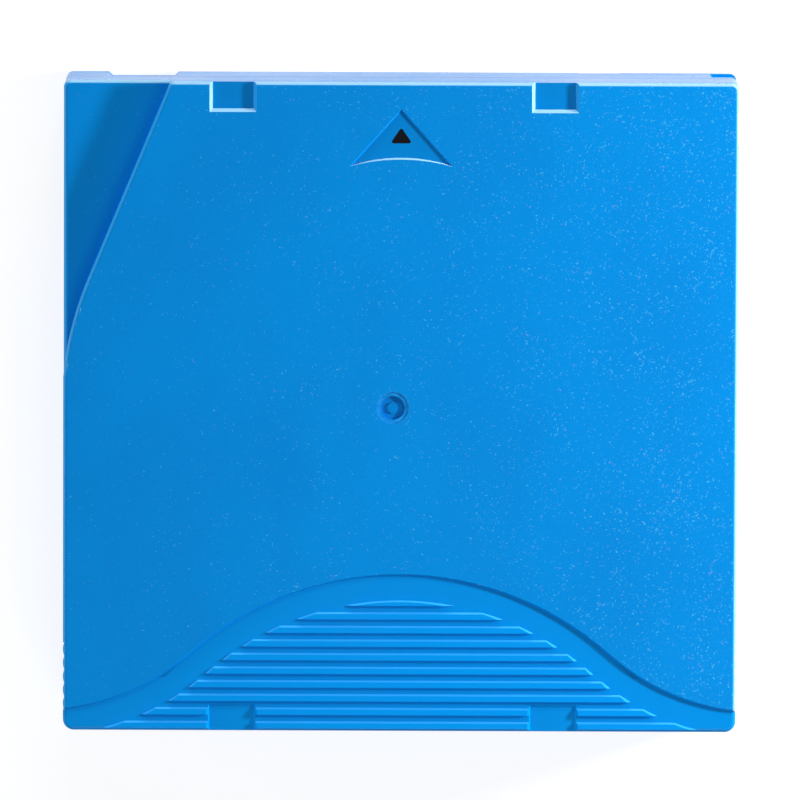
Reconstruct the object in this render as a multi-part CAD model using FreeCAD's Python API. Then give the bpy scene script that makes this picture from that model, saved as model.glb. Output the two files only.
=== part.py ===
"""Half-inch data tape cartridge: a screwed shell round one reel of tape.

Frame: the origin is the centre of the bottom face, +Z is up through the top face, +Y is the
way the cartridge goes into a drive and +X is to the right of somebody who pushes it in.
Every solid is written to parts/NODE.step, where NODE is the name of the piece.
"""

import FreeCAD
import Part
import math
import os

Vec = FreeCAD.Vector
UP = Vec(0, 0, 1)

# ---------------------------------------------------------------- driving sizes, mm and degrees
WIDTH = 105.4
DEPTH = 102.0
HEIGHT = 21.5
SEAM_Z = 11.0
FRONT_CORNER_R = 1.1
REAR_CORNER_R = 1.7
EDGE_R = 0.66

# walls of both shell halves
FLOOR = 2.0
CEILING = 2.0
SIDE_WALL = 1.5
END_WALL = 1.8

# reel, measured from its own axis
REEL_X = -1.16
REEL_Y = 0.0
REEL_WALL_GAP = 0.7
REEL_DOOR_GAP = 0.59
REEL_HEADROOM = 2.0
FLANGE_T = 1.0
FLANGE_Z = 2.4
HUB_R = 22.0
HUB_WALL = 2.2
HUB_SPIGOT_H = 0.8
HUB_SPIGOT_T = 1.0
HUB_FLOOR_T = 1.8
HUB_BOSS_R = 17.6
TAPE_FLANGE_GAP = 0.225
PACK_RIM_GAP = 1.65
PACK_BORE_GAP = 0.02
FLANGE_BORE_GAP = 0.05
SEAT_RING_H = 0.3
SEAT_RING_W = 2.5
WINDOW_GAP = 0.4

# drive coupling under the hub
COUPLING_TEETH = 40
COUPLING_TOOTH_H = 1.0
COUPLING_TOOTH_BASE = 1.9
COUPLING_R_IN = 14.6
COUPLING_R_OUT = 17.3
DRIVE_PLATE_R_IN = 5.5
DRIVE_PLATE_R_OUT = 13.6
DRIVE_PLATE_T = 0.6

# face teeth of the coupling and of the brake
TOOTH_TIP_W = 0.4
TOOTH_ROOT_SINK = 0.1

# brake that holds the reel still outside a drive
BRAKE_TEETH = 24
BRAKE_TOOTH_H = 1.0
BRAKE_TOOTH_BASE = 2.1
BRAKE_R_IN = 10.5
BRAKE_R_OUT = 12.5
BRAKE_RISER_H = 1.8
BRAKE_TIP_GAP = 0.1
BRAKE_DISC_R = 13.2
BRAKE_DISC_T = 1.2
BRAKE_TUBE_R = 5.6
BRAKE_TUBE_H = 6.0
BRAKE_PAD_R = 2.0
BRAKE_LIFT = 1.6
POST_ARM = 4.0
POST_T = 1.5
POST_GAP = 0.15
POST_END_GAP = 0.2
BRAKE_SPRING_R = 7.4
BRAKE_SPRING_WIRE = 0.9
BRAKE_SPRING_TURNS = 6
BRAKE_SPRING_STEPS = 12
SPRING_CUP_H = 1.2
SPRING_CUP_T = 1.0
SPRING_SIDE_GAP = 0.35
SPRING_END_GAP = 0.05

# three-legged release that the drive lifts
RELEASE_LEGS = 3
RELEASE_ARM_W = 3.6
RELEASE_T = 1.0
RELEASE_GAP = 0.1
RELEASE_CENTRE_R = 4.0
RELEASE_CONTACT_GAP = 0.05
LEG_R = 16.0
LEG_RADIAL = 1.8
LEG_TIP_Z = 0.9
LEG_GAP = 0.2
LEG_GATE_ANGLE = 20.0

# lowered corner over the tape door, its wall concentric with the reel
STEP_DROP = 2.9
STEP_REEL_GAP = 1.5
STEP_LINE_ANGLE = 67.44
STEP_WALL = 1.75
STEP_CEILING = 1.2
STEP_CORNER_R = 1.0

# finger grip: a hump-shaped field with straight ribs, on both faces
GRIP_SINK = 0.45
GRIP_REACH = 24.6
GRIP_CREST_R = 49.5
GRIP_FOOT = 3.0614
GRIP_FLARE_OUT = 4.0
GRIP_BEVEL = 0.28
RIB_COUNT = 10
RIB_PITCH = 2.155
RIB_W = 1.11
RIB_BEVEL = 0.28
RIB_END_SLOPE = 0.56
RIB_TILT = 0.12
RIB_MARGIN = 3.65
SIDE_RIB_COUNT = 5
SIDE_RIB_PITCH = 2.13
SIDE_RIB_SAG = 0.24
SIDE_RIB_INSET = 3.2

# rectangular nicks in the top face
NICK_SPACING = 50.3
NICK_X = -1.1
NICK_SINK = 0.7
NICK_SLOPE = 0.5
FRONT_NICK_W = 6.35
FRONT_NICK_L = 4.2
REAR_NICK_W = 7.0
REAR_NICK_L = 4.0

# insertion arrow and moulding gate mark
ARROW_INSET = 4.5
ARROW_LENGTH = 8.4
ARROW_BOW = 1.1
ARROW_HALF_W = 7.5
ARROW_SINK = 0.3
ARROW_SLOPE = 0.25
GATE_R = 2.5
GATE_DISH_R = 1.85
GATE_NUB_R = 0.85
GATE_RING_SINK = 0.15
GATE_DISH_SINK = 0.55
GATE_NUB_SINK = 0.3

# recesses of the outer walls
FRONT_RECESS_INSET = 7.3
FRONT_RECESS_W = 9.7
FRONT_RECESS_SINK = 0.66
FOOT_NICK_INSET = 18.4
FOOT_NICK_W = 6.4
FOOT_NICK_H = 1.6
FOOT_NICK_SINK = 1.0
CORNER_POCKET_W = 3.2
CORNER_POCKET_SINK = 1.0
CORNER_POCKET_Z0 = 2.0
CORNER_POCKET_Z1 = 9.0
SIDE_NOTCH_INSET = 4.3
SIDE_NOTCH_L = 5.8
SIDE_NOTCH_Z0 = 3.0
SIDE_NOTCH_COVER = 0.23
SIDE_NOTCH_SINK = 1.0
SIDE_NOTCH_PAD = 1.0
LABEL_LEFT_INSET = 19.7
LABEL_RIGHT_INSET = 5.2
LABEL_Z0 = 2.6
LABEL_TOP_INSET = 2.1
LABEL_SINK = 0.4
SEAM_GROOVE = 0.12

# tape door on the left wall
DOOR_T = 0.8
DOOR_WALL_GAP = 0.15
DOOR_INSET = 6.5
DOOR_L = 20.5
DOOR_TRAVEL = 18.5
DOOR_GROOVE_FLOOR = 1.0
DOOR_GROOVE_CEILING = 0.5
DOOR_END_GAP = 0.15
DOOR_GROOVE_RUN = 0.5
DOOR_LAP = 1.2
DOOR_WINDOW_SILL = 1.0
DOOR_WINDOW_LINTEL = 0.8
DOOR_LUG_REACH = 2.3
DOOR_LUG_T = 1.2
DOOR_LUG_H = 2.9
DOOR_FLOOR_GAP = 0.2
DOOR_TAB_L = 3.0
DOOR_TAB_Z = 0.4
DOOR_SPRING_R = 0.9
DOOR_SPRING_WIRE = 0.32
DOOR_SPRING_TURNS = 12
DOOR_SPRING_STEPS = 8
DOOR_SPRING_STOP_INSET = 37.0
DOOR_SPRING_STOP_T = 1.5
DOOR_SPRING_STOP_W = 1.7

# leader pin, its tape clamp and its springs
PIN_SIDE_INSET = 7.5
PIN_FRONT_INSET = 15.0
PIN_R = 1.25
PIN_HEAD_R = 1.7
PIN_POCKET_FLOOR = 1.2
PIN_POCKET_CEILING = 0.5
PIN_POCKET_GAP = 0.3
PIN_END_GAP = 0.05
PIN_HEAD_TAPE_GAP = 0.15
CLAMP_T = 0.55
CLAMP_GAP = 0.05
CLAMP_MOUTH = 70.0
TAPE_T = 0.15
TAPE_PACK_GAP = 0.1
PIN_SPRING_T = 0.25
PIN_SPRING_GAP = 0.1
PIN_SPRING_H = 0.85
PIN_SPRING_POST_RUN = 4.3
PIN_SPRING_POST_H = 1.2
PIN_SPRING_FREE = 1.4

# write-protect slider in the rear wall
SLIDER_WINDOW_INSET = 7.9
SLIDER_WINDOW_W = 8.2
SLIDER_WINDOW_Z0 = 4.6
SLIDER_WINDOW_H = 5.0
SLIDER_TRAVEL = 4.0
SLIDER_T = 1.2
SLIDER_LAP = 0.6
SLIDER_GAP = 0.12
SLIDER_KNOB_GAP = 0.3
SLIDER_KNOB_OUT = 1.4
SLIDER_RAIL_T = 1.0
SLIDER_RAIL_TOP = 8.0

# memory tag on its cradle in the rear right corner
MEMORY_SIDE_INSET = 9.1
MEMORY_REAR_INSET = 4.4
MEMORY_L = 13.0
MEMORY_W = 9.0
MEMORY_T = 0.8
MEMORY_CHIP = 3.4
MEMORY_CHIP_T = 0.5
MEMORY_GAP = 0.05
CRADLE_ANGLE = 45.0
CRADLE_T = 1.2
CRADLE_INSET = 1.5

# screws from below, into bosses of both halves
SCREW_FRONT_LEFT = (16.7, 6.1)
SCREW_FRONT_RIGHT = (7.3, 7.8)
SCREW_REAR_RIGHT = (14.1, 10.8)
SCREW_REAR_LEFT = (10.5, 9.6)
SCREW_R = 1.0
SCREW_GAP = 0.1
SCREW_PILOT_GAP = 0.02
SCREW_HEAD_R = 1.8
SCREW_HEAD_H = 1.3
SCREW_HEAD_SINK = 0.9
SCREW_HEAD_GAP = 0.25
SCREW_LENGTH = 12.0
BOSS_R = 2.7

# locating holes in the bottom face
DATUM_R = 2.0
DATUM_DEPTH = 5.0
DATUM_WALL = 1.2
DATUM_FRONT_INSET = 5.6
DATUM_ROUND_INSET = 26.2
DATUM_SLOT_INSET = 23.9
DATUM_SLOT_L = 1.0

# arc walls round the reel
ARC_WALL_GAP = 0.9
ARC_WALL_T = 0.9
ARC_WALL_SPANS = ((18.0, 72.0), (198.0, 252.0), (288.0, 342.0))

# ---------------------------------------------------------------- sizes that follow from those
HALF_W = WIDTH / 2
HALF_D = DEPTH / 2
INNER_X = HALF_W - SIDE_WALL
INNER_Y = HALF_D - END_WALL
INNER_TOP = HEIGHT - CEILING
STEP_TOP = HEIGHT - STEP_DROP
STEP_INNER_TOP = STEP_TOP - STEP_CEILING
BEYOND = 8.0
TOUCH = 1e-6

DOOR_X0 = -INNER_X + DOOR_WALL_GAP
DOOR_X1 = DOOR_X0 + DOOR_T
DOOR_Y1 = HALF_D - DOOR_INSET
DOOR_Y0 = DOOR_Y1 - DOOR_L
DOOR_Z0 = FLOOR - DOOR_GROOVE_FLOOR + DOOR_END_GAP
DOOR_Z1 = STEP_INNER_TOP + DOOR_GROOVE_CEILING - DOOR_END_GAP
DOOR_LUG_Z = FLOOR + DOOR_FLOOR_GAP
DOOR_SPRING_X = DOOR_X1 + DOOR_SPRING_R + DOOR_SPRING_WIRE / 2 + DOOR_WALL_GAP
DOOR_SPRING_Z = FLOOR + DOOR_SPRING_R + DOOR_SPRING_WIRE / 2 + DOOR_FLOOR_GAP
DOOR_SPRING_STOP_Y = HALF_D - DOOR_SPRING_STOP_INSET

FLANGE_R = min(INNER_Y - abs(REEL_Y) - REEL_WALL_GAP, REEL_X - DOOR_X1 - REEL_DOOR_GAP)
PACK_R = FLANGE_R - PACK_RIM_GAP
STEP_R = FLANGE_R + STEP_REEL_GAP + STEP_WALL
ARC_WALL_R = FLANGE_R + ARC_WALL_GAP
HUB_INNER_R = HUB_R - HUB_WALL
WINDOW_R = HUB_BOSS_R + WINDOW_GAP
FLANGE_TOP = FLANGE_Z + FLANGE_T
HUB_BASE_Z = FLANGE_TOP - HUB_FLOOR_T
UPPER_FLANGE_Z = INNER_TOP - REEL_HEADROOM - FLANGE_T
TAPE_Z0 = FLANGE_TOP + TAPE_FLANGE_GAP
TAPE_Z1 = UPPER_FLANGE_Z - TAPE_FLANGE_GAP
BRAKE_ROOT_Z = FLANGE_TOP + BRAKE_RISER_H
BRAKE_DISC_Z = BRAKE_ROOT_Z + BRAKE_TOOTH_H + BRAKE_TIP_GAP
BRAKE_SEAT_Z = BRAKE_DISC_Z + BRAKE_DISC_T
RELEASE_Z = FLANGE_TOP + RELEASE_GAP
RELEASE_TOP = RELEASE_Z + RELEASE_T
POST_Z = BRAKE_SEAT_Z + BRAKE_LIFT + POST_END_GAP

PIN_X = -HALF_W + PIN_SIDE_INSET
PIN_Y = HALF_D - PIN_FRONT_INSET
PIN_SPRING_POST_Y = PIN_Y + PIN_SPRING_POST_RUN
PIN_Z0 = PIN_POCKET_FLOOR + PIN_END_GAP
PIN_Z1 = STEP_INNER_TOP + PIN_POCKET_CEILING - PIN_END_GAP
PIN_NECK_Z0 = TAPE_Z0 - PIN_HEAD_TAPE_GAP
PIN_NECK_Z1 = TAPE_Z1 + PIN_HEAD_TAPE_GAP

SLIDER_WINDOW_X0 = -HALF_W + SLIDER_WINDOW_INSET
SLIDER_WINDOW_X1 = SLIDER_WINDOW_X0 + SLIDER_WINDOW_W
SLIDER_X0 = SLIDER_WINDOW_X0 - SLIDER_TRAVEL - SLIDER_KNOB_GAP
SLIDER_X1 = SLIDER_WINDOW_X1 + SLIDER_KNOB_GAP
SLIDER_Y1 = -INNER_Y + SLIDER_GAP + SLIDER_T
SLIDER_Z0 = SLIDER_WINDOW_Z0 - SLIDER_LAP
SLIDER_Z1 = SLIDER_WINDOW_Z0 + SLIDER_WINDOW_H + SLIDER_LAP

GRIP_CREST_Y = -HALF_D + GRIP_REACH
GRIP_FOOT_Y = -HALF_D + GRIP_FOOT
GRIP_FLARE_X = HALF_W + GRIP_FLARE_OUT
FRONT_RECESS_X0 = -HALF_W + FRONT_RECESS_INSET
FOOT_NICK_X1 = HALF_W - FOOT_NICK_INSET
CORNER_POCKET_X = HALF_W - CORNER_POCKET_W
SIDE_NOTCH_Y1 = HALF_D - SIDE_NOTCH_INSET
SIDE_NOTCH_Y0 = SIDE_NOTCH_Y1 - SIDE_NOTCH_L
SIDE_RIB_REAR_Y = -HALF_D + SIDE_RIB_INSET
MEMORY_X = HALF_W - MEMORY_SIDE_INSET
MEMORY_Y0 = -HALF_D + MEMORY_REAR_INSET
DATUM_Y = HALF_D - DATUM_FRONT_INSET
DATUM_ROUND_X = HALF_W - DATUM_ROUND_INSET
DATUM_SLOT_X = -HALF_W + DATUM_SLOT_INSET
SCREW_POINTS = (
    (-HALF_W + SCREW_FRONT_LEFT[0], HALF_D - SCREW_FRONT_LEFT[1]),
    (HALF_W - SCREW_FRONT_RIGHT[0], HALF_D - SCREW_FRONT_RIGHT[1]),
    (HALF_W - SCREW_REAR_RIGHT[0], -HALF_D + SCREW_REAR_RIGHT[1]),
    (-HALF_W + SCREW_REAR_LEFT[0], -HALF_D + SCREW_REAR_LEFT[1]),
)


# ---------------------------------------------------------------- plain shapes
def box(x0, x1, y0, y1, z0, z1):
    """Block between two corners."""
    return Part.makeBox(x1 - x0, y1 - y0, z1 - z0, Vec(x0, y0, z0))


def disc(x, y, z0, z1, radius):
    """Upright cylinder."""
    return Part.makeCylinder(radius, z1 - z0, Vec(x, y, z0))


def ring(x, y, z0, z1, r_in, r_out):
    """Upright tube."""
    return disc(x, y, z0, z1, r_out).cut(disc(x, y, z0, z1, r_in))


def reel_disc(z0, z1, radius):
    """Cylinder on the reel axis."""
    return disc(REEL_X, REEL_Y, z0, z1, radius)


def reel_ring(z0, z1, r_in, r_out):
    """Tube on the reel axis."""
    return ring(REEL_X, REEL_Y, z0, z1, r_in, r_out)


def line(a, b):
    """Straight edge."""
    return Part.LineSegment(a, b).toShape()


def arc(centre, radius, start, end):
    """Edge of a circle in a level plane, between two angles in degrees."""
    points = [centre + polar(radius, a) for a in (start, (start + end) / 2, end)]
    return Part.Arc(*points).toShape()


def polar(radius, angle, z=0.0):
    """Point at a radius and an angle in degrees."""
    turn = math.radians(angle)
    return Vec(radius * math.cos(turn), radius * math.sin(turn), z)


def path(points):
    """Closed outline of straight edges."""
    return [line(a, b) for a, b in zip(points, points[1:] + points[:1])]


def prism(edges, z0, z1):
    """Level outline drawn at z = 0, raised between two heights."""
    face = Part.Face(Part.Wire(Part.__sortEdges__(edges)))
    face.translate(Vec(0, 0, z0))
    return face.extrude(Vec(0, 0, z1 - z0))


def side_prism(points, y0, y1):
    """Outline of (x, z) points, pushed along Y."""
    corners = [Vec(x, y0, z) for x, z in points]
    return Part.Face(Part.Wire(path(corners))).extrude(Vec(0, y1 - y0, 0))


def cross_prism(points, x0, x1):
    """Outline of (y, z) points, pushed along X."""
    corners = [Vec(x0, y, z) for y, z in points]
    return Part.Face(Part.Wire(path(corners))).extrude(Vec(x1 - x0, 0, 0))


def spin(points):
    """Ring turned about the reel axis from a section of (radius, z) points."""
    corners = [Vec(REEL_X + r, REEL_Y, z) for r, z in points]
    face = Part.Face(Part.Wire(path(corners)))
    return face.revolve(Vec(REEL_X, REEL_Y, 0), UP, 360)


def sector(r_in, r_out, start, end, z0, z1):
    """Part of a ring about the reel axis, between two angles in degrees."""
    centre = Vec(REEL_X, REEL_Y, 0)
    edges = [
        arc(centre, r_out, start, end),
        line(centre + polar(r_out, end), centre + polar(r_in, end)),
        arc(centre, r_in, end, start),
        line(centre + polar(r_in, start), centre + polar(r_out, start)),
    ]
    return prism(edges, z0, z1)


def around_reel(shape, count):
    """Copies of a shape at even steps about the reel axis."""
    copies = []
    for step in range(count):
        copy = shape.copy()
        copy.rotate(Vec(REEL_X, REEL_Y, 0), UP, 360.0 * step / count)
        copies.append(copy)
    return copies


def flipped(shape, height):
    """Mirror image top to bottom of a shape that is this high."""
    return shape.mirror(Vec(0, 0, height / 2), UP)


def edges_at(shape, z):
    """Edges that lie level at a height."""
    return [e for e in shape.Edges if all(abs(v.Z - z) < TOUCH for v in e.Vertexes)]


def facet(*corners):
    """Flat face between points."""
    return Part.Face(Part.Wire(path(list(corners))))


def coil(foot, axis, radius, wire, length, turns, steps):
    """Helical spring along an axis from its foot, of four-sided wire in short straight steps."""
    run = length - wire
    sections = []
    for step in range(turns * steps + 1):
        angle = 360.0 * step / steps
        height = wire / 2 + run * step / (turns * steps)
        section = []
        for corner in range(4):
            out = radius + wire / 2 * math.cos(math.radians(90 * corner))
            up = height + wire / 2 * math.sin(math.radians(90 * corner))
            section.append(polar(out, angle, up))
        sections.append(section)
    faces = [facet(*sections[0]), facet(*sections[-1])]
    for low, high in zip(sections, sections[1:]):
        for corner in range(4):
            following = (corner + 1) % 4
            faces.append(facet(low[corner], low[following], high[following]))
            faces.append(facet(low[corner], high[following], high[corner]))
    spring = Part.Solid(Part.Shell(faces))
    if spring.Volume < 0:
        spring.reverse()
    spring.Placement = FreeCAD.Placement(foot, FreeCAD.Rotation(UP, axis))
    return spring


# ---------------------------------------------------------------- outlines of the shell
def body_edges(inset_x=0.0, inset_y=0.0):
    """Rounded rectangle of the shell, or of its cavity when inset."""
    x = HALF_W - inset_x
    y = HALF_D - inset_y
    front = FRONT_CORNER_R
    rear = REAR_CORNER_R
    return [
        line(Vec(-x + front, y, 0), Vec(x - front, y, 0)),
        arc(Vec(x - front, y - front, 0), front, 90, 0),
        line(Vec(x, y - front, 0), Vec(x, -y + rear, 0)),
        arc(Vec(x - rear, -y + rear, 0), rear, 0, -90),
        line(Vec(x - rear, -y, 0), Vec(-x + rear, -y, 0)),
        arc(Vec(-x + rear, -y + rear, 0), rear, 270, 180),
        line(Vec(-x, -y + rear, 0), Vec(-x, y - front, 0)),
        arc(Vec(-x + front, y - front, 0), front, 180, 90),
    ]


def step_region(z0, z1, inset=0.0):
    """Space outside the step: an arc about the reel that runs on as its tangent to the front."""
    centre = Vec(REEL_X, REEL_Y, 0)
    radius = STEP_R - inset
    turn = STEP_LINE_ANGLE + 90
    run = DEPTH / math.sin(math.radians(STEP_LINE_ANGLE))
    foot = centre + polar(radius, turn)
    head = foot + polar(run, STEP_LINE_ANGLE)
    left = REEL_X - radius
    edges = [
        arc(centre, radius, 180, turn),
        line(foot, head),
        line(head, Vec(left - BEYOND, head.y, 0)),
        line(Vec(left - BEYOND, head.y, 0), Vec(left - BEYOND, REEL_Y, 0)),
        line(Vec(left - BEYOND, REEL_Y, 0), Vec(left, REEL_Y, 0)),
    ]
    return prism(edges, z0, z1)


def grip_flare_radius():
    """Radius of the flare that touches the crest and ends level at the foot of the grip."""
    rise = GRIP_FOOT_Y - GRIP_CREST_Y + GRIP_CREST_R
    square = GRIP_FLARE_X * GRIP_FLARE_X + rise * rise - GRIP_CREST_R * GRIP_CREST_R
    return square / (2 * (GRIP_CREST_R - rise))


def hump_edges(margin=0.0):
    """Outline of the grip field: a crest that flares out to both sides, moved in by a margin."""
    radius = grip_flare_radius()
    crest_r = GRIP_CREST_R - margin
    flare_r = radius + margin
    crest = Vec(0, GRIP_CREST_Y - GRIP_CREST_R, 0)
    rise = GRIP_FOOT_Y + radius - crest.y
    turn = math.degrees(math.atan2(rise, GRIP_FLARE_X))
    right = crest + Vec(GRIP_FLARE_X, rise, 0)
    left = crest + Vec(-GRIP_FLARE_X, rise, 0)
    foot_y = GRIP_FOOT_Y - margin
    base_y = -HALF_D - BEYOND
    return [
        arc(crest, crest_r, turn, 180 - turn),
        arc(right, flare_r, 180 + turn, 270),
        arc(left, flare_r, -turn, -90),
        line(Vec(GRIP_FLARE_X, foot_y, 0), Vec(GRIP_FLARE_X, base_y, 0)),
        line(Vec(-GRIP_FLARE_X, foot_y, 0), Vec(-GRIP_FLARE_X, base_y, 0)),
        line(Vec(-GRIP_FLARE_X, base_y, 0), Vec(GRIP_FLARE_X, base_y, 0)),
    ]


# ---------------------------------------------------------------- outer form of the shell
def rounded_slab(height):
    """Body outline raised to a height, its top edge rounded."""
    slab = prism(body_edges(), 0, height)
    return slab.makeFillet(EDGE_R, edges_at(slab, height))


def rib_field(top):
    """Straight ribs of the grip, cut to the hump with sloped ends, their crests at a height."""
    base = top - GRIP_SINK
    ribs = []
    for step in range(RIB_COUNT):
        front = GRIP_CREST_Y - RIB_MARGIN - step * RIB_PITCH
        rear = front - RIB_W
        profile = [
            (front, base - GRIP_SINK),
            (front, base),
            (front - RIB_BEVEL, top - RIB_TILT),
            (rear, top),
            (rear, base - GRIP_SINK),
        ]
        ribs.append(cross_prism(profile, -HALF_W, HALF_W))
    low = Part.Wire(Part.__sortEdges__(hump_edges(RIB_MARGIN)))
    low.translate(Vec(0, 0, base - GRIP_SINK))
    high = Part.Wire(Part.__sortEdges__(hump_edges(RIB_MARGIN + RIB_END_SLOPE)))
    high.translate(Vec(0, 0, top))
    field = Part.makeLoft([low, high], True, True)
    return field.common(ribs[0].fuse(ribs[1:])).common(rounded_slab(top))


def step_block(height):
    """Block inside the line of the step, far past the other walls, its top edge rounded."""
    x0 = REEL_X - STEP_R
    block = box(x0, HALF_W + BEYOND, -HALF_D - BEYOND, HALF_D, 0, height)
    block = block.cut(step_region(0, height))
    block = block.makeFillet(STEP_CORNER_R, [e for e in block.Edges if is_step_corner(e)])
    return block.makeFillet(EDGE_R, [e for e in edges_at(block, height) if is_step_rim(e)])


def shell_blank(height, stepped):
    """Solid half shell, outer face up: face, sunken grip field with ribs, lowered corner."""
    hump = prism(hump_edges(), 0, height)
    plate = prism(body_edges(), 0, height).cut(hump)
    hump_line = [e for e in edges_at(plate, height) if on_hump(e)]
    plate = plate.makeChamfer(GRIP_BEVEL, hump_line)
    rim = [e for e in edges_at(plate, height) if not on_hump(e)]
    plate = plate.makeFillet(EDGE_R, rim)
    pieces = [rounded_slab(height - GRIP_SINK).common(hump), rib_field(height)]
    if stepped:
        front = box(-HALF_W - BEYOND, HALF_W + BEYOND, REEL_Y, HALF_D + BEYOND, 0, height)
        plate = plate.cut(front.cut(step_block(height)))
        pieces.append(rounded_slab(height - STEP_DROP).common(front))
    return plate.fuse(pieces).removeSplitter()


def is_step_corner(edge):
    """True for the upright edge where the step wall meets the front wall."""
    middle = edge.CenterOfMass
    upright = abs(edge.Vertexes[0].Z - edge.Vertexes[-1].Z) > EDGE_R
    return upright and middle.x < HALF_W and abs(middle.y - HALF_D) < TOUCH


def is_step_rim(edge):
    """True for an edge of the step block that isn't on its right or rear end."""
    middle = edge.CenterOfMass
    return middle.x < HALF_W and middle.y > -HALF_D


def on_hump(edge):
    """True for an edge on the outline of the grip field."""
    middle = edge.CenterOfMass
    inside = abs(middle.x) < HALF_W - REAR_CORNER_R
    return inside and abs(middle.y) < HALF_D - REAR_CORNER_R and middle.y < GRIP_CREST_Y


# ---------------------------------------------------------------- cuts in the outer faces
def pit(floor, mouth, sink):
    """Pit in the top face, from the outline of its floor and one as far above the face."""
    low = Part.Wire(Part.__sortEdges__(floor))
    low.translate(Vec(0, 0, HEIGHT - sink))
    high = Part.Wire(Part.__sortEdges__(mouth))
    high.translate(Vec(0, 0, HEIGHT + sink))
    return Part.makeLoft([low, high], True, True)


def nick_outline(x, width, length, side, margin):
    """Rectangle that runs out over the front edge (side 1) or the rear edge (side -1)."""
    half = width / 2 + margin
    inner = side * (HALF_D - length - margin)
    outer = side * (HALF_D + BEYOND)
    return path([
        Vec(x - half, inner, 0),
        Vec(x + half, inner, 0),
        Vec(x + half, outer, 0),
        Vec(x - half, outer, 0),
    ])


def nicks():
    """Four nicks with leaning walls: two open to the front edge, two to the rear edge."""
    tools = []
    sizes = ((1, FRONT_NICK_W, FRONT_NICK_L), (-1, REAR_NICK_W, REAR_NICK_L))
    for hand in (-1, 1):
        x = NICK_X + hand * NICK_SPACING / 2
        for side, width, length in sizes:
            floor = nick_outline(x, width, length, side, 0)
            mouth = nick_outline(x, width, length, side, 2 * NICK_SLOPE)
            tools.append(pit(floor, mouth, NICK_SINK))
    return tools


def arrow_outline(margin):
    """Arrowhead with its base bowed inward, its sides moved out by a margin."""
    lean = math.atan2(ARROW_HALF_W, ARROW_LENGTH)
    tip_y = HALF_D - ARROW_INSET + margin / math.sin(lean)
    base_y = HALF_D - ARROW_INSET - ARROW_LENGTH - margin
    half = (tip_y - base_y) * math.tan(lean)
    tip = Vec(0, tip_y, 0)
    right = Vec(half, base_y, 0)
    left = Vec(-half, base_y, 0)
    base = Part.Arc(right, Vec(0, base_y + ARROW_BOW, 0), left).toShape()
    return [line(tip, right), base, line(left, tip)]


def arrow_recess():
    """Shallow arrowhead that shows which end goes in first."""
    return pit(arrow_outline(0), arrow_outline(2 * ARROW_SLOPE), ARROW_SINK)


def gate_mark():
    """Moulding gate over the reel axis: a dished ring with a nub left standing in it."""
    dish = reel_disc(HEIGHT - GATE_DISH_SINK, HEIGHT + BEYOND, GATE_DISH_R)
    nub = reel_disc(0, HEIGHT - GATE_NUB_SINK, GATE_NUB_R)
    return dish.cut(nub).fuse(reel_disc(HEIGHT - GATE_RING_SINK, HEIGHT + BEYOND, GATE_R))


def side_rib_cutters():
    """What is cut away between the upright finger ribs near the rear of both side walls."""
    half = SIDE_RIB_PITCH / 2
    radius = (half * half + SIDE_RIB_SAG * SIDE_RIB_SAG) / (2 * SIDE_RIB_SAG)
    length = SIDE_RIB_PITCH * SIDE_RIB_COUNT
    inner = HALF_W - SIDE_RIB_SAG * 2
    end_y = SIDE_RIB_REAR_Y + length
    strip = box(inner, HALF_W + BEYOND, SIDE_RIB_REAR_Y, end_y, 0, HEIGHT)
    crests = []
    for step in range(SIDE_RIB_COUNT):
        y = SIDE_RIB_REAR_Y + half + step * SIDE_RIB_PITCH
        crests.append(disc(HALF_W - radius, y, 0, HEIGHT, radius))
    right = strip.cut(crests)
    return [right, right.mirror(Vec(0, 0, 0), Vec(1, 0, 0))]


def side_notch():
    """Notch of the right wall, just below the rounded top edge."""
    top = HEIGHT - SIDE_NOTCH_COVER
    inner = HALF_W - SIDE_NOTCH_SINK
    return box(inner, HALF_W + BEYOND, SIDE_NOTCH_Y0, SIDE_NOTCH_Y1, SIDE_NOTCH_Z0, top)


def side_notch_pad(z0, z1):
    """Thickened wall behind the notch."""
    margin = SIDE_WALL
    y0 = SIDE_NOTCH_Y0 - margin
    y1 = SIDE_NOTCH_Y1 + margin
    return box(INNER_X - SIDE_NOTCH_PAD, INNER_X, y0, y1, z0, z1)


def label_recess():
    """Bare recess for a label in the rear wall."""
    y = -HALF_D + LABEL_SINK
    x0 = -HALF_W + LABEL_LEFT_INSET
    x1 = HALF_W - LABEL_RIGHT_INSET
    return box(x0, x1, -HALF_D - BEYOND, y, LABEL_Z0, HEIGHT - LABEL_TOP_INSET)


def seam_groove():
    """Fine line round the outside where the halves meet."""
    z0 = SEAM_Z - SEAM_GROOVE
    z1 = SEAM_Z + SEAM_GROOVE
    outside = prism(body_edges(-BEYOND, -BEYOND), z0, z1)
    return outside.cut(prism(body_edges(SEAM_GROOVE, SEAM_GROOVE), z0, z1))


def door_window():
    """Opening of the left wall that the tape leaves through."""
    y0 = DOOR_Y0 + DOOR_LAP
    y1 = DOOR_Y1 - DOOR_LAP
    z0 = FLOOR + DOOR_WINDOW_SILL
    z1 = STEP_INNER_TOP - DOOR_WINDOW_LINTEL
    return box(-HALF_W - BEYOND, -INNER_X + DOOR_WALL_GAP, y0, y1, z0, z1)


def door_groove(z0, z1):
    """Guide for one long edge of the door, as long as its travel."""
    y0 = DOOR_Y0 - DOOR_TRAVEL - DOOR_GROOVE_RUN
    y1 = DOOR_Y1 + DOOR_GROOVE_RUN
    return box(-INNER_X, DOOR_X1 + DOOR_WALL_GAP, y0, y1, z0, z1)


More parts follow.
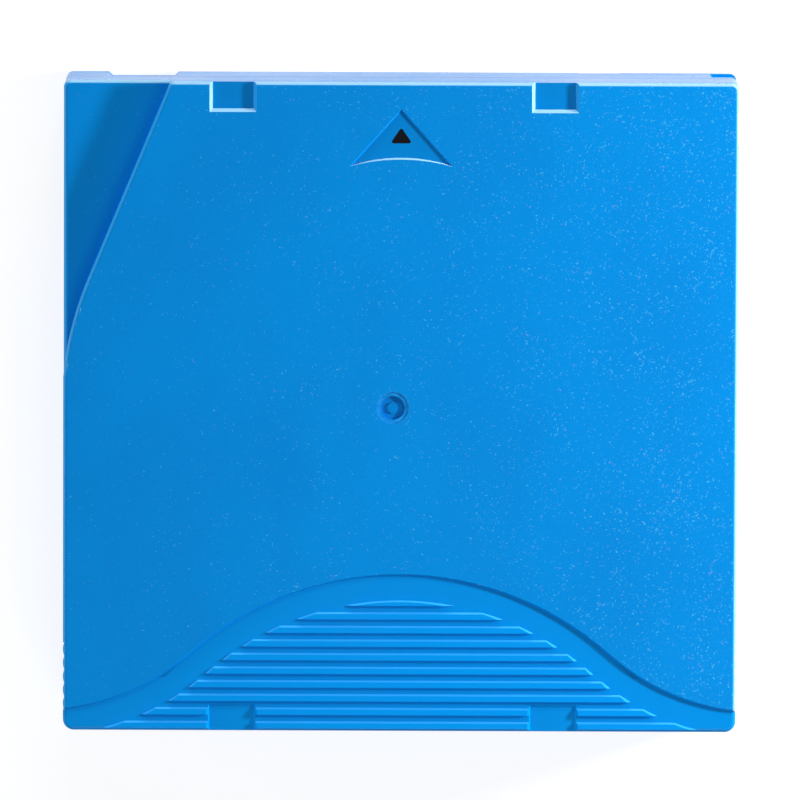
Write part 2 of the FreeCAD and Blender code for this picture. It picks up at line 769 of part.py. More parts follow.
def opener_slot():
    """Slot under the left edge where a drive catches the foot of the door."""
    y0 = DOOR_Y1 - DOOR_TAB_L - DOOR_TRAVEL - DOOR_GROOVE_RUN
    y1 = DOOR_Y1 + DOOR_GROOVE_RUN
    top = FLOOR - DOOR_GROOVE_FLOOR
    return box(-INNER_X, DOOR_X1 + DOOR_WALL_GAP, y0, y1, -BEYOND, top)


def front_recess():
    """Shallow recess of the lower front wall beside the door, with slanted ends."""
    deep = HALF_D - FRONT_RECESS_SINK
    spread = FRONT_RECESS_SINK + BEYOND
    x1 = FRONT_RECESS_X0 + FRONT_RECESS_W
    points = [
        Vec(FRONT_RECESS_X0, deep, 0),
        Vec(x1, deep, 0),
        Vec(x1 + spread, HALF_D + BEYOND, 0),
        Vec(FRONT_RECESS_X0 - spread, HALF_D + BEYOND, 0),
    ]
    return prism(path(points), -BEYOND, SEAM_Z)


def foot_nick():
    """Nick in the lower front edge."""
    deep = HALF_D - FOOT_NICK_SINK
    x0 = FOOT_NICK_X1 - FOOT_NICK_W
    return box(x0, FOOT_NICK_X1, deep, HALF_D + BEYOND, -BEYOND, FOOT_NICK_H)


def corner_pocket():
    """Pocket of the front right corner, its left end slanted."""
    deep = HALF_D - CORNER_POCKET_SINK
    spread = CORNER_POCKET_SINK + BEYOND
    points = [
        Vec(CORNER_POCKET_X, deep, 0),
        Vec(HALF_W + BEYOND, deep, 0),
        Vec(HALF_W + BEYOND, HALF_D + BEYOND, 0),
        Vec(CORNER_POCKET_X - spread, HALF_D + BEYOND, 0),
    ]
    return prism(path(points), CORNER_POCKET_Z0, CORNER_POCKET_Z1)


def slider_window():
    """Window of the rear wall for the write-protect slider."""
    y0 = -HALF_D - BEYOND
    z0 = SLIDER_WINDOW_Z0
    return box(SLIDER_WINDOW_X0, SLIDER_WINDOW_X1, y0, -INNER_Y, z0, z0 + SLIDER_WINDOW_H)


def pin_pocket(z0, z1):
    """Pocket that one end of the leader pin stands in."""
    return disc(PIN_X, PIN_Y, z0, z1, PIN_HEAD_R + PIN_POCKET_GAP)


# ---------------------------------------------------------------- shell halves
def cavity_below_step():
    """Hollow of both halves up to the ceiling under the lowered corner."""
    return prism(body_edges(SIDE_WALL, END_WALL), FLOOR, STEP_INNER_TOP)


def cavity_over_reel():
    """Hollow above that ceiling, inside the step wall."""
    upper = prism(body_edges(SIDE_WALL, END_WALL), STEP_INNER_TOP, INNER_TOP)
    return upper.cut(step_region(STEP_INNER_TOP, INNER_TOP, STEP_WALL))


def brake_post():
    """Cross-shaped post of the upper half that keeps the brake from turning."""
    bars = []
    for half_x, half_y in ((POST_ARM, POST_T / 2), (POST_T / 2, POST_ARM)):
        x0 = REEL_X - half_x
        y0 = REEL_Y - half_y
        bars.append(box(x0, x0 + 2 * half_x, y0, y0 + 2 * half_y, POST_Z, INNER_TOP))
    return bars


def spring_cup():
    """Ring under the top wall that centres the brake spring."""
    inner = BRAKE_SPRING_R + BRAKE_SPRING_WIRE / 2 + SPRING_SIDE_GAP
    return reel_ring(INNER_TOP - SPRING_CUP_H, INNER_TOP, inner, inner + SPRING_CUP_T)


def arc_walls(z0, z1):
    """Curved walls that close off the corners from the reel."""
    outer = ARC_WALL_R + ARC_WALL_T
    return [sector(ARC_WALL_R, outer, a, b, z0, z1) for a, b in ARC_WALL_SPANS]


def slider_keeper():
    """Rib of the upper half that holds the slider down."""
    x0 = SLIDER_WINDOW_X0
    z0 = SLIDER_Z1 + SLIDER_GAP
    return box(x0, SLIDER_WINDOW_X1, -INNER_Y, SLIDER_Y1, z0, INNER_TOP)


def slider_rails():
    """Sill, inner wall and end stop of the lower half that the slider runs between."""
    x1 = SLIDER_X1 + SLIDER_TRAVEL + SLIDER_KNOB_GAP
    stop = x1 + SLIDER_RAIL_T
    inner_y = SLIDER_Y1 + SLIDER_GAP
    outer_y = inner_y + SLIDER_RAIL_T
    sill = box(-INNER_X, stop, -INNER_Y, outer_y, FLOOR, SLIDER_Z0 - SLIDER_GAP)
    wall = box(-INNER_X, stop, inner_y, outer_y, FLOOR, SLIDER_RAIL_TOP)
    end = box(x1, stop, -INNER_Y, outer_y, FLOOR, SLIDER_RAIL_TOP)
    return [sill, wall, end]


def pin_spring_post(z0, z1):
    """Round post that one of the pin springs is hooked over."""
    return disc(PIN_X, PIN_SPRING_POST_Y, z0, z1, PIN_HEAD_R)


def upper_shell():
    """Upper half: face, lowered corner, grip, brake post and screw bosses."""
    blank = shell_blank(HEIGHT - SEAM_Z, True)
    blank.translate(Vec(0, 0, SEAM_Z))
    inside = brake_post() + [spring_cup(), side_notch_pad(SEAM_Z, INNER_TOP)]
    inside += arc_walls(SEAM_Z, INNER_TOP)
    inside += [disc(x, y, SEAM_Z, INNER_TOP, BOSS_R) for x, y in SCREW_POINTS]
    inside.append(pin_spring_post(STEP_INNER_TOP - PIN_SPRING_POST_H, STEP_INNER_TOP))
    inside = [piece.common(blank) for piece in inside]
    shell = blank.cut([cavity_below_step(), cavity_over_reel()])
    shell = shell.fuse(inside + [slider_keeper()])
    tools = nicks() + side_rib_cutters() + [arrow_recess(), gate_mark(), side_notch()]
    tools += [label_recess(), seam_groove(), door_window()]
    tools.append(door_groove(STEP_INNER_TOP, STEP_INNER_TOP + DOOR_GROOVE_CEILING))
    tools.append(pin_pocket(STEP_INNER_TOP, STEP_INNER_TOP + PIN_POCKET_CEILING))
    tip = SCREW_HEAD_SINK + SCREW_HEAD_H + SCREW_LENGTH + SCREW_GAP
    pilot = SCREW_R + SCREW_PILOT_GAP
    tools += [disc(x, y, SEAM_Z, tip, pilot) for x, y in SCREW_POINTS]
    return shell.cut(tools).removeSplitter()


def datum_slot(z1, radius):
    """Upright round-ended bar at the second locating hole."""
    x0 = DATUM_SLOT_X - DATUM_SLOT_L / 2
    x1 = DATUM_SLOT_X + DATUM_SLOT_L / 2
    ends = [disc(x, DATUM_Y, 0, z1, radius) for x in (x0, x1)]
    return box(x0, x1, DATUM_Y - radius, DATUM_Y + radius, 0, z1).fuse(ends)


def memory_cradle():
    """Two gussets with sloped tops that the memory tag lies on."""
    run = MEMORY_W * math.cos(math.radians(CRADLE_ANGLE))
    rise = MEMORY_W * math.sin(math.radians(CRADLE_ANGLE))
    points = [(MEMORY_X, FLOOR), (MEMORY_X + run, FLOOR), (MEMORY_X + run, FLOOR + rise)]
    first = MEMORY_Y0 + CRADLE_INSET
    second = MEMORY_Y0 + MEMORY_L - CRADLE_INSET - CRADLE_T
    return [side_prism(points, y, y + CRADLE_T) for y in (first, second)]


def door_spring_stop():
    """Lug of the lower half that the fixed end of the door spring presses on."""
    x0 = DOOR_X1 + DOOR_WALL_GAP
    y1 = DOOR_SPRING_STOP_Y
    top = DOOR_SPRING_Z + DOOR_SPRING_R + DOOR_SPRING_WIRE / 2
    return box(x0, x0 + DOOR_SPRING_STOP_W, y1 - DOOR_SPRING_STOP_T, y1, FLOOR, top)


def screw_clearance(x, y):
    """Counterbored hole of the lower half for one screw."""
    seat = SCREW_HEAD_SINK + SCREW_HEAD_H
    bore = disc(x, y, -BEYOND, SEAM_Z, SCREW_R + SCREW_GAP)
    return bore.fuse(disc(x, y, -BEYOND, seat, SCREW_HEAD_R + SCREW_HEAD_GAP))


def lower_shell():
    """Lower half: floor with the spindle window, seats, rails, bosses and locating holes."""
    blank = flipped(shell_blank(SEAM_Z, False), SEAM_Z)
    wall = DATUM_R + DATUM_WALL
    deep = DATUM_DEPTH + DATUM_WALL
    seat_r = WINDOW_R + SEAT_RING_W
    inside = slider_rails() + memory_cradle() + arc_walls(FLOOR, SEAM_Z)
    inside += [door_spring_stop(), side_notch_pad(FLOOR, SEAM_Z)]
    inside.append(reel_ring(FLOOR, FLOOR + SEAT_RING_H, WINDOW_R, seat_r))
    inside.append(pin_spring_post(FLOOR, FLOOR + PIN_SPRING_POST_H))
    inside += [disc(x, y, FLOOR, SEAM_Z, BOSS_R) for x, y in SCREW_POINTS]
    inside += [disc(DATUM_ROUND_X, DATUM_Y, 0, deep, wall), datum_slot(deep, wall)]
    shell = blank.cut(cavity_below_step()).fuse(inside)
    tools = side_rib_cutters() + [side_notch(), label_recess(), seam_groove()]
    tools += [door_window(), opener_slot(), front_recess(), foot_nick(), corner_pocket()]
    tools += [slider_window(), reel_disc(-BEYOND, FLOOR, WINDOW_R)]
    tools.append(door_groove(FLOOR - DOOR_GROOVE_FLOOR, FLOOR))
    tools.append(pin_pocket(PIN_POCKET_FLOOR, FLOOR))
    tools += [screw_clearance(x, y) for x, y in SCREW_POINTS]
    tools.append(disc(DATUM_ROUND_X, DATUM_Y, -BEYOND, DATUM_DEPTH, DATUM_R))
    tools.append(datum_slot(DATUM_DEPTH, DATUM_R))
    return shell.cut(tools).removeSplitter()


def shell_screws():
    """Self-tapping screws, driven in from below."""
    screws = []
    seat = SCREW_HEAD_SINK + SCREW_HEAD_H
    for x, y in SCREW_POINTS:
        head = disc(x, y, SCREW_HEAD_SINK, seat, SCREW_HEAD_R)
        shank = disc(x, y, seat, seat + SCREW_LENGTH, SCREW_R)
        screws.append(head.fuse(shank))
    return Part.makeCompound(screws)


# ---------------------------------------------------------------- reel
def tooth_ring(count, r_in, r_out, root_z, height, base, shift=0.0):
    """Face teeth about the reel axis; a negative height points them down."""
    root = root_z - math.copysign(TOOTH_ROOT_SINK, height)
    wide = base / 2
    narrow = TOOTH_TIP_W / 2
    y = REEL_Y
    tip = root_z + height
    points = [(y - wide, root), (y + wide, root), (y + narrow, tip), (y - narrow, tip)]
    tooth = cross_prism(points, REEL_X + r_in, REEL_X + r_out)
    tooth.rotate(Vec(REEL_X, REEL_Y, 0), UP, shift)
    return around_reel(tooth, count)


def release_arm(gap=0.0):
    """Space of one leg of the release, from its tip to the top of the legs."""
    x0 = REEL_X + LEG_R - LEG_RADIAL / 2 - gap
    x1 = REEL_X + LEG_R + LEG_RADIAL / 2 + gap
    half = RELEASE_ARM_W / 2 + gap
    return box(x0, x1, REEL_Y - half, REEL_Y + half, LEG_TIP_Z - gap, RELEASE_TOP)


def reel_hub():
    """Hub and lower flange in one moulding, with drive teeth below and brake teeth inside."""
    lip = HUB_INNER_R + HUB_SPIGOT_T
    lip_top = UPPER_FLANGE_Z + HUB_SPIGOT_H
    hub = spin([
        (0, HUB_BASE_Z),
        (HUB_BOSS_R, HUB_BASE_Z),
        (HUB_BOSS_R, FLANGE_Z),
        (FLANGE_R, FLANGE_Z),
        (FLANGE_R, FLANGE_TOP),
        (HUB_R, FLANGE_TOP),
        (HUB_R, UPPER_FLANGE_Z),
        (lip, UPPER_FLANGE_Z),
        (lip, lip_top),
        (HUB_INNER_R, lip_top),
        (HUB_INNER_R, FLANGE_TOP),
        (0, FLANGE_TOP),
    ])
    span = 360.0 / RELEASE_LEGS
    end = span - LEG_GATE_ANGLE
    riser = sector(BRAKE_R_IN, BRAKE_R_OUT, LEG_GATE_ANGLE, end, FLANGE_TOP, BRAKE_ROOT_Z)
    risers = around_reel(riser, RELEASE_LEGS)
    teeth = tooth_ring(
        BRAKE_TEETH, BRAKE_R_IN, BRAKE_R_OUT, BRAKE_ROOT_Z, BRAKE_TOOTH_H, BRAKE_TOOTH_BASE
    )
    pitch = 360.0 / BRAKE_TEETH
    standing = []
    for step, tooth in enumerate(teeth):
        place = (step * pitch) % span
        if LEG_GATE_ANGLE + pitch / 2 < place < end - pitch / 2:
            standing.append(tooth)
    drive = tooth_ring(
        COUPLING_TEETH,
        COUPLING_R_IN,
        COUPLING_R_OUT,
        HUB_BASE_Z,
        -COUPLING_TOOTH_H,
        COUPLING_TOOTH_BASE,
    )
    hub = hub.fuse(risers + standing + drive)
    return hub.cut(around_reel(release_arm(LEG_GAP), RELEASE_LEGS)).removeSplitter()


def upper_flange():
    """Upper flange, welded on the rim of the hub."""
    bore = HUB_INNER_R + HUB_SPIGOT_T + FLANGE_BORE_GAP
    return reel_ring(UPPER_FLANGE_Z, UPPER_FLANGE_Z + FLANGE_T, bore, FLANGE_R)


def tape_pack():
    """All the turns of tape as one solid."""
    return reel_ring(TAPE_Z0, TAPE_Z1, HUB_R + PACK_BORE_GAP, PACK_R)


def drive_plate():
    """Steel ring under the hub that the magnet of a drive pulls on."""
    z0 = HUB_BASE_Z - DRIVE_PLATE_T
    return reel_ring(z0, HUB_BASE_Z, DRIVE_PLATE_R_IN, DRIVE_PLATE_R_OUT)


# ---------------------------------------------------------------- brake
def brake_button():
    """Toothed disc with a cross socket that slides on the post of the upper half."""
    body = reel_disc(BRAKE_DISC_Z, BRAKE_SEAT_Z, BRAKE_DISC_R)
    top = BRAKE_SEAT_Z + BRAKE_TUBE_H
    tube = reel_disc(BRAKE_SEAT_Z, top, BRAKE_TUBE_R)
    pad = reel_disc(RELEASE_TOP + RELEASE_CONTACT_GAP, BRAKE_DISC_Z, BRAKE_PAD_R)
    teeth = tooth_ring(
        BRAKE_TEETH,
        BRAKE_R_IN,
        BRAKE_R_OUT,
        BRAKE_DISC_Z,
        -BRAKE_TOOTH_H,
        BRAKE_TOOTH_BASE,
        180.0 / BRAKE_TEETH,
    )
    arm = POST_ARM + POST_GAP
    half = POST_T / 2 + POST_GAP
    socket = []
    for half_x, half_y in ((arm, half), (half, arm)):
        x0 = REEL_X - half_x
        y0 = REEL_Y - half_y
        socket.append(box(x0, x0 + 2 * half_x, y0, y0 + 2 * half_y, BRAKE_SEAT_Z, top))
    return body.fuse([tube, pad] + teeth).cut(socket).removeSplitter()


def brake_spring():
    """Coil spring that presses the brake down on the hub."""
    foot = Vec(REEL_X, REEL_Y, BRAKE_SEAT_Z + SPRING_END_GAP)
    length = INNER_TOP - BRAKE_SEAT_Z - 2 * SPRING_END_GAP
    turns = BRAKE_SPRING_TURNS
    return coil(foot, UP, BRAKE_SPRING_R, BRAKE_SPRING_WIRE, length, turns, BRAKE_SPRING_STEPS)


def brake_release():
    """Three-legged plate: the drive lifts its legs, and it lifts the brake."""
    plate = reel_disc(RELEASE_Z, RELEASE_TOP, RELEASE_CENTRE_R)
    half = RELEASE_ARM_W / 2
    end = REEL_X + LEG_R + LEG_RADIAL / 2
    arm = box(REEL_X, end, REEL_Y - half, REEL_Y + half, RELEASE_Z, RELEASE_TOP)
    limb = arm.fuse(release_arm())
    return plate.fuse(around_reel(limb, RELEASE_LEGS)).removeSplitter()


# ---------------------------------------------------------------- door
def tape_door():
    """Sliding plate over the tape window, with a spring lug and a foot for the opener."""
    plate = box(DOOR_X0, DOOR_X1, DOOR_Y0, DOOR_Y1, DOOR_Z0, DOOR_Z1)
    lug_x = DOOR_X1 + DOOR_LUG_REACH
    lug_y = DOOR_Y1 - DOOR_LUG_T
    lug = box(DOOR_X0, lug_x, lug_y, DOOR_Y1, DOOR_LUG_Z, DOOR_LUG_Z + DOOR_LUG_H)
    foot = box(DOOR_X0, DOOR_X1, DOOR_Y1 - DOOR_TAB_L, DOOR_Y1, DOOR_TAB_Z, DOOR_Z1)
    return plate.fuse([lug, foot]).removeSplitter()


def door_spring():
    """Long coil spring that closes the door."""
    foot = Vec(DOOR_SPRING_X, DOOR_SPRING_STOP_Y + SPRING_END_GAP, DOOR_SPRING_Z)
    length = DOOR_Y1 - DOOR_LUG_T - DOOR_SPRING_STOP_Y - 2 * SPRING_END_GAP
    along = Vec(0, 1, 0)
    turns = DOOR_SPRING_TURNS
    return coil(foot, along, DOOR_SPRING_R, DOOR_SPRING_WIRE, length, turns, DOOR_SPRING_STEPS)


# ---------------------------------------------------------------- leader
def leader_run():
    """Length of the free tape from the pack to the pin, and its angle in degrees."""
    reach_x = PIN_X - REEL_X
    reach_y = PIN_Y - REEL_Y
    radius = PACK_R + TAPE_PACK_GAP + TAPE_T / 2
    distance = math.hypot(reach_x, reach_y)
    length = math.sqrt(distance * distance - radius * radius)
    turn = math.atan2(reach_y, reach_x) + math.asin(length / distance)
    return length, math.degrees(turn) - 90


def leader_pin():
    """Steel pin with a head at each end, which a drive pulls the tape out by."""
    lower = disc(PIN_X, PIN_Y, PIN_Z0, PIN_NECK_Z0, PIN_HEAD_R)
    neck = disc(PIN_X, PIN_Y, PIN_NECK_Z0, PIN_NECK_Z1, PIN_R)
    upper = disc(PIN_X, PIN_Y, PIN_NECK_Z1, PIN_Z1, PIN_HEAD_R)
    return lower.fuse([neck, upper])


def pin_clamp():
    """C-shaped clip that holds the end of the tape on the pin."""
    angle = leader_run()[1]
    inner = PIN_R + CLAMP_GAP
    tube = ring(PIN_X, PIN_Y, TAPE_Z0, TAPE_Z1, inner, inner + CLAMP_T)
    centre = Vec(PIN_X, PIN_Y, 0)
    wide = CLAMP_MOUTH / 2
    left = centre + polar(BEYOND, angle + 180 - wide)
    right = centre + polar(BEYOND, angle + 180 + wide)
    return tube.cut(prism(path([centre, left, right]), TAPE_Z0, TAPE_Z1))


def tape_leader():
    """Free end of the tape between the pack and the pin."""
    length, angle = leader_run()
    run = length - PIN_R - CLAMP_GAP
    strip = box(-run, 0, -TAPE_T / 2, TAPE_T / 2, TAPE_Z0, TAPE_Z1)
    strip.translate(Vec(-PIN_R - CLAMP_GAP, 0, 0))
    strip.rotate(Vec(0, 0, 0), UP, angle)
    strip.translate(Vec(PIN_X, PIN_Y, 0))
    return strip


def pin_spring(z0):
    """Hairpin of spring strip round a post, its free ends on both sides of a pin head."""
    inner = PIN_HEAD_R + PIN_SPRING_GAP
    outer = inner + PIN_SPRING_T
    y0 = PIN_Y - PIN_SPRING_FREE
    z1 = z0 + PIN_SPRING_H
    bend = ring(PIN_X, PIN_SPRING_POST_Y, z0, z1, inner, outer)
    keep = box(PIN_X - outer, PIN_X + outer, PIN_SPRING_POST_Y, PIN_SPRING_POST_Y + outer, z0, z1)
    legs = [
        box(PIN_X + inner, PIN_X + outer, y0, PIN_SPRING_POST_Y, z0, z1),
        box(PIN_X - outer, PIN_X - inner, y0, PIN_SPRING_POST_Y, z0, z1),
    ]
    return bend.common(keep).fuse(legs).removeSplitter()


# ---------------------------------------------------------------- small inner pieces
def write_protect_slider():
    """Plate behind the rear wall with a finger knob in its window."""
    y0 = -INNER_Y + SLIDER_GAP
    plate = box(SLIDER_X0, SLIDER_X1, y0, SLIDER_Y1, SLIDER_Z0, SLIDER_Z1)
    knob_x0 = SLIDER_WINDOW_X0 + SLIDER_KNOB_GAP
    knob_x1 = SLIDER_WINDOW_X1 - SLIDER_KNOB_GAP - SLIDER_TRAVEL
    knob_z0 = SLIDER_WINDOW_Z0 + SLIDER_KNOB_GAP
    knob_z1 = SLIDER_WINDOW_Z0 + SLIDER_WINDOW_H - SLIDER_KNOB_GAP
    knob = box(knob_x0, knob_x1, -INNER_Y - SLIDER_KNOB_OUT, y0, knob_z0, knob_z1)
    return plate.fuse(knob).removeSplitter()


def on_cradle(shape):
    """Shape drawn level at the origin, laid on the slope of the memory cradle."""
    shape.rotate(Vec(0, 0, 0), Vec(0, 1, 0), -CRADLE_ANGLE)
    shape.translate(Vec(MEMORY_X, MEMORY_Y0, FLOOR))
    return shape


def memory_tag():
    """Flat radio tag that stores the cartridge's history."""
    z0 = MEMORY_GAP
    return on_cradle(box(0, MEMORY_W, 0, MEMORY_L, z0, z0 + MEMORY_T))


def memory_chip():
    """Sealed chip on the face of the tag."""
    x0 = (MEMORY_W - MEMORY_CHIP) / 2
    y0 = (MEMORY_L - MEMORY_CHIP) / 2
    z0 = MEMORY_GAP + MEMORY_T
    return on_cradle(box(x0, x0 + MEMORY_CHIP, y0, y0 + MEMORY_CHIP, z0, z0 + MEMORY_CHIP_T))


def pieces():
    """Every node of the cartridge."""
    ceiling = STEP_INNER_TOP - SPRING_END_GAP - PIN_SPRING_H
    return {
        "upper_shell": upper_shell(),
        "lower_shell": lower_shell(),
        "shell_screws": shell_screws(),
        "reel_hub": reel_hub(),
        "upper_flange": upper_flange(),
        "tape_pack": tape_pack(),
        "drive_plate": drive_plate(),
        "brake_button": brake_button(),
        "brake_spring": brake_spring(),
        "brake_release": brake_release(),
        "tape_door": tape_door(),
        "door_spring": door_spring(),
        "leader_pin": leader_pin(),
        "pin_clamp": pin_clamp(),
        "tape_leader": tape_leader(),
        "pin_spring_lower": pin_spring(FLOOR + SPRING_END_GAP),
        "pin_spring_upper": pin_spring(ceiling),
        "write_protect_slider": write_protect_slider(),
        "memory_tag": memory_tag(),
        "memory_chip": memory_chip(),
    }


def main():
    """Build every piece and write its file."""
    os.makedirs("parts", exist_ok=True)
    for name, shape in pieces().items():
        shape.exportStep(f"parts/{name}.step")
        print(f"{name}: {shape.Volume:.1f} mm3, {len(shape.Solids)} solid, valid {shape.isValid()}")


if __name__ == "__main__":
    main()
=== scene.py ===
"""Looks of the half-inch data tape cartridge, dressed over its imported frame.

Everything is in metres in the frame of the part: +Z up through the top face, +Y the way the
cartridge goes into a drive. Sizes written in millimetres are turned into metres by MM.
"""

import logging
import math
from dataclasses import dataclass
from enum import Enum
from typing import Sequence

import bpy
from mathutils import Matrix, Vector


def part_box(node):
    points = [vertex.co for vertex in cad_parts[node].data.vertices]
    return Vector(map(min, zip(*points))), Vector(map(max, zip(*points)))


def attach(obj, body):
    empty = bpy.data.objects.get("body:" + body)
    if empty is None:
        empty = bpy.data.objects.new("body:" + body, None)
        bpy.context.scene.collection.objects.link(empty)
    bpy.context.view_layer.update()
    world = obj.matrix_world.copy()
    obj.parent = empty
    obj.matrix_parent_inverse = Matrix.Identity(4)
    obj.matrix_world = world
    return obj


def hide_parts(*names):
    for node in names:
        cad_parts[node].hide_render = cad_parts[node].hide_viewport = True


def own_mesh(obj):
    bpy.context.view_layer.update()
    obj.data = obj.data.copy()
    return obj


MM = 0.001
MM_PER_METRE = 1000.0
WHITE = (1.0, 1.0, 1.0, 1.0)
REEL_AXIS_X = -1.16  # millimetres

# Sockets of a Mix node that take and give colours.
MIX_SHARE, MIX_FIRST, MIX_SECOND, MIX_RESULT = 0, 6, 7, 2

Colour = tuple[float, float, float, float]
Socket = bpy.types.NodeSocket
Value = float | Socket
Corners = tuple[tuple[float, float], ...]
Ring = list[tuple[float, float]]

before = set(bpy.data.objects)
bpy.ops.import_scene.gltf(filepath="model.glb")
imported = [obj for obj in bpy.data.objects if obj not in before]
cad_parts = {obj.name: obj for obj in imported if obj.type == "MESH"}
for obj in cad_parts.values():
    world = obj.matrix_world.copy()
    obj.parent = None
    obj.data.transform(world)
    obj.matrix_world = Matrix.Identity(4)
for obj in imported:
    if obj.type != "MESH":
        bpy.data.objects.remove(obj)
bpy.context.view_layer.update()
LOG = logging.getLogger("cartridge")


def srgb(red: int, green: int, blue: int) -> Colour:
    """Turn a colour of 0 to 255 per channel into the linear colour of a shader.

    Args:
        red: Red channel.
        green: Green channel.
        blue: Blue channel.

    Returns:
        Linear red, green, blue and an alpha of 1.
    """

    def linear(channel: int) -> float:
        """Undo the display curve of one channel."""
        share = channel / 255
        return share / 12.92 if share <= 0.04045 else ((share + 0.055) / 1.055) ** 2.4

    return linear(red), linear(green), linear(blue), 1.0


def report(piece: str, note: str) -> None:
    """Log one finished piece."""
    LOG.info("%s: %s", piece, note)


# ------------------------------------------------------------------ shader building
class Operation(Enum):
    """Arithmetic of a Math node."""

    ADD = "ADD"
    SUBTRACT = "SUBTRACT"
    MULTIPLY = "MULTIPLY"
    DIVIDE = "DIVIDE"
    LESS = "LESS_THAN"
    MORE = "GREATER_THAN"
    ABSOLUTE = "ABSOLUTE"
    FRACTION = "FRACT"
    LARGER = "MAXIMUM"
    ROOT = "SQRT"


@dataclass(frozen=True)
class Noise:
    """Soft noise from 0 to 1: its lumps per millimetre and the weight of its finer layers."""

    per_mm: float
    detail: float = 2.0
    rough: float = 0.5
    stretch: tuple[float, float, float] = (1.0, 1.0, 1.0)


@dataclass(frozen=True)
class Step:
    """Smooth step between two results while a number goes from low to high."""

    low: float
    high: float
    before: float = 0.0
    after: float = 1.0

    def about(self, middle: float) -> "Step":
        """Give the same step with both results raised by a middle value."""
        return Step(self.low, self.high, middle + self.before, middle + self.after)


class Graph:
    """Node tree of one material around a Principled shader, in millimetres of the part."""

    def __init__(self, name: str) -> None:
        """Start an empty material with its shader and output.

        Args:
            name: Name of the material.
        """
        self.material = bpy.data.materials.new(name)
        self.material.use_nodes = True
        self.tree = self.material.node_tree
        self.tree.nodes.clear()
        output = self.node("ShaderNodeOutputMaterial")
        self.shader = self.node("ShaderNodeBsdfPrincipled")
        self.tree.links.new(self.shader.outputs["BSDF"], output.inputs["Surface"])
        self.coordinates = self.node("ShaderNodeTexCoord")

    def node(self, kind: str, **settings: object) -> bpy.types.Node:
        """Add a node and set its own properties.

        Args:
            kind: Blender's name of the node type.
            **settings: Properties to set on the node.

        Returns:
            The new node.
        """
        made = self.tree.nodes.new(kind)
        for key, value in settings.items():
            setattr(made, key, value)
        return made

    def feed(self, socket: Socket, value: Value | Colour | Sequence[float]) -> None:
        """Link a socket to another, or set it to a constant.

        Args:
            socket: Socket that takes the value.
            value: Socket to link from, or the constant.
        """
        if isinstance(value, bpy.types.NodeSocket):
            self.tree.links.new(value, socket)
        else:
            socket.default_value = value

    def place(self, stretch: Sequence[float] = (1.0, 1.0, 1.0)) -> Socket:
        """Give the point of the surface in the part's frame, in millimetres.

        Args:
            stretch: Extra factor along each axis.

        Returns:
            The vector socket.
        """
        mapping = self.node("ShaderNodeMapping", vector_type="POINT")
        mapping.inputs["Scale"].default_value = [MM_PER_METRE * factor for factor in stretch]
        self.feed(mapping.inputs["Vector"], self.coordinates.outputs["Object"])
        return mapping.outputs["Vector"]

    def parts(self, vector: Socket) -> tuple[Socket, Socket, Socket]:
        """Split a vector.

        Args:
            vector: Vector to split.

        Returns:
            Its three numbers.
        """
        split = self.node("ShaderNodeSeparateXYZ")
        self.feed(split.inputs[0], vector)
        return split.outputs["X"], split.outputs["Y"], split.outputs["Z"]

    def math(self, operation: Operation, first: Value, second: Value = 0.0) -> Socket:
        """Work out one sum with a Math node.

        Args:
            operation: What the node does.
            first: Its first number.
            second: Its second number, where it takes two.

        Returns:
            The result.
        """
        made = self.node("ShaderNodeMath", operation=operation.value)
        self.feed(made.inputs[0], first)
        self.feed(made.inputs[1], second)
        return made.outputs[0]

    def plus(self, first: Value, second: Value) -> Socket:
        """Add two numbers."""
        return self.math(Operation.ADD, first, second)

    def times(self, first: Value, *others: Value) -> Value:
        """Multiply numbers, in the order that they come in.

        Args:
            first: First number.
            *others: Numbers to multiply it by.

        Returns:
            The product.
        """
        for other in others:
            first = self.math(Operation.MULTIPLY, first, other)
        return first

    def away(self, value: Socket, middle: float) -> Socket:
        """Give how far a number is from another, either way."""
        return self.math(Operation.ABSOLUTE, self.math(Operation.SUBTRACT, value, middle))

    def radius(self, x: Socket, y: Socket, centre: tuple[float, float]) -> Socket:
        """Give the distance from an upright line.

        Args:
            x: Place along X in millimetres.
            y: Place along Y in millimetres.
            centre: Where the line stands.

        Returns:
            The distance in millimetres.
        """
        across = self.math(Operation.SUBTRACT, x, centre[0])
        along = self.math(Operation.SUBTRACT, y, centre[1])
        squares = self.plus(self.times(across, across), self.times(along, along))
        return self.math(Operation.ROOT, squares)

    def rings(self, axis_x: float) -> Socket:
        """Give a vector that changes only with the distance from the reel's axis.

        Args:
            axis_x: Where the axis stands along X, in millimetres.

        Returns:
            The vector socket, for noise that runs in rings.
        """
        x, y, _ = self.parts(self.place())
        ring = self.node("ShaderNodeCombineXYZ")
        self.feed(ring.inputs["X"], self.radius(x, y, (axis_x, 0.0)))
        return ring.outputs["Vector"]

    def step(self, value: Socket, step: Step) -> Socket:
        """Take a number through a smooth step, held at both ends.

        Args:
            value: Number to take through.
            step: The step.

        Returns:
            The result.
        """
        made = self.node("ShaderNodeMapRange", interpolation_type="SMOOTHSTEP")
        self.feed(made.inputs["Value"], value)
        made.inputs["From Min"].default_value = step.low
        made.inputs["From Max"].default_value = step.high
        made.inputs["To Min"].default_value = step.before
        made.inputs["To Max"].default_value = step.after
        return made.outputs["Result"]

    def noise(self, noise: Noise, vector: Socket | None = None) -> Socket:
        """Give soft noise from 0 to 1.

        Args:
            noise: Its lumps and layers.
            vector: Where it is read, the place on the part if left out.

        Returns:
            The noise.
        """
        made = self.node("ShaderNodeTexNoise")
        self.feed(made.inputs["Vector"], vector or self.place(noise.stretch))
        made.inputs["Scale"].default_value = noise.per_mm
        made.inputs["Detail"].default_value = noise.detail
        made.inputs["Roughness"].default_value = noise.rough
        return made.outputs["Fac"]

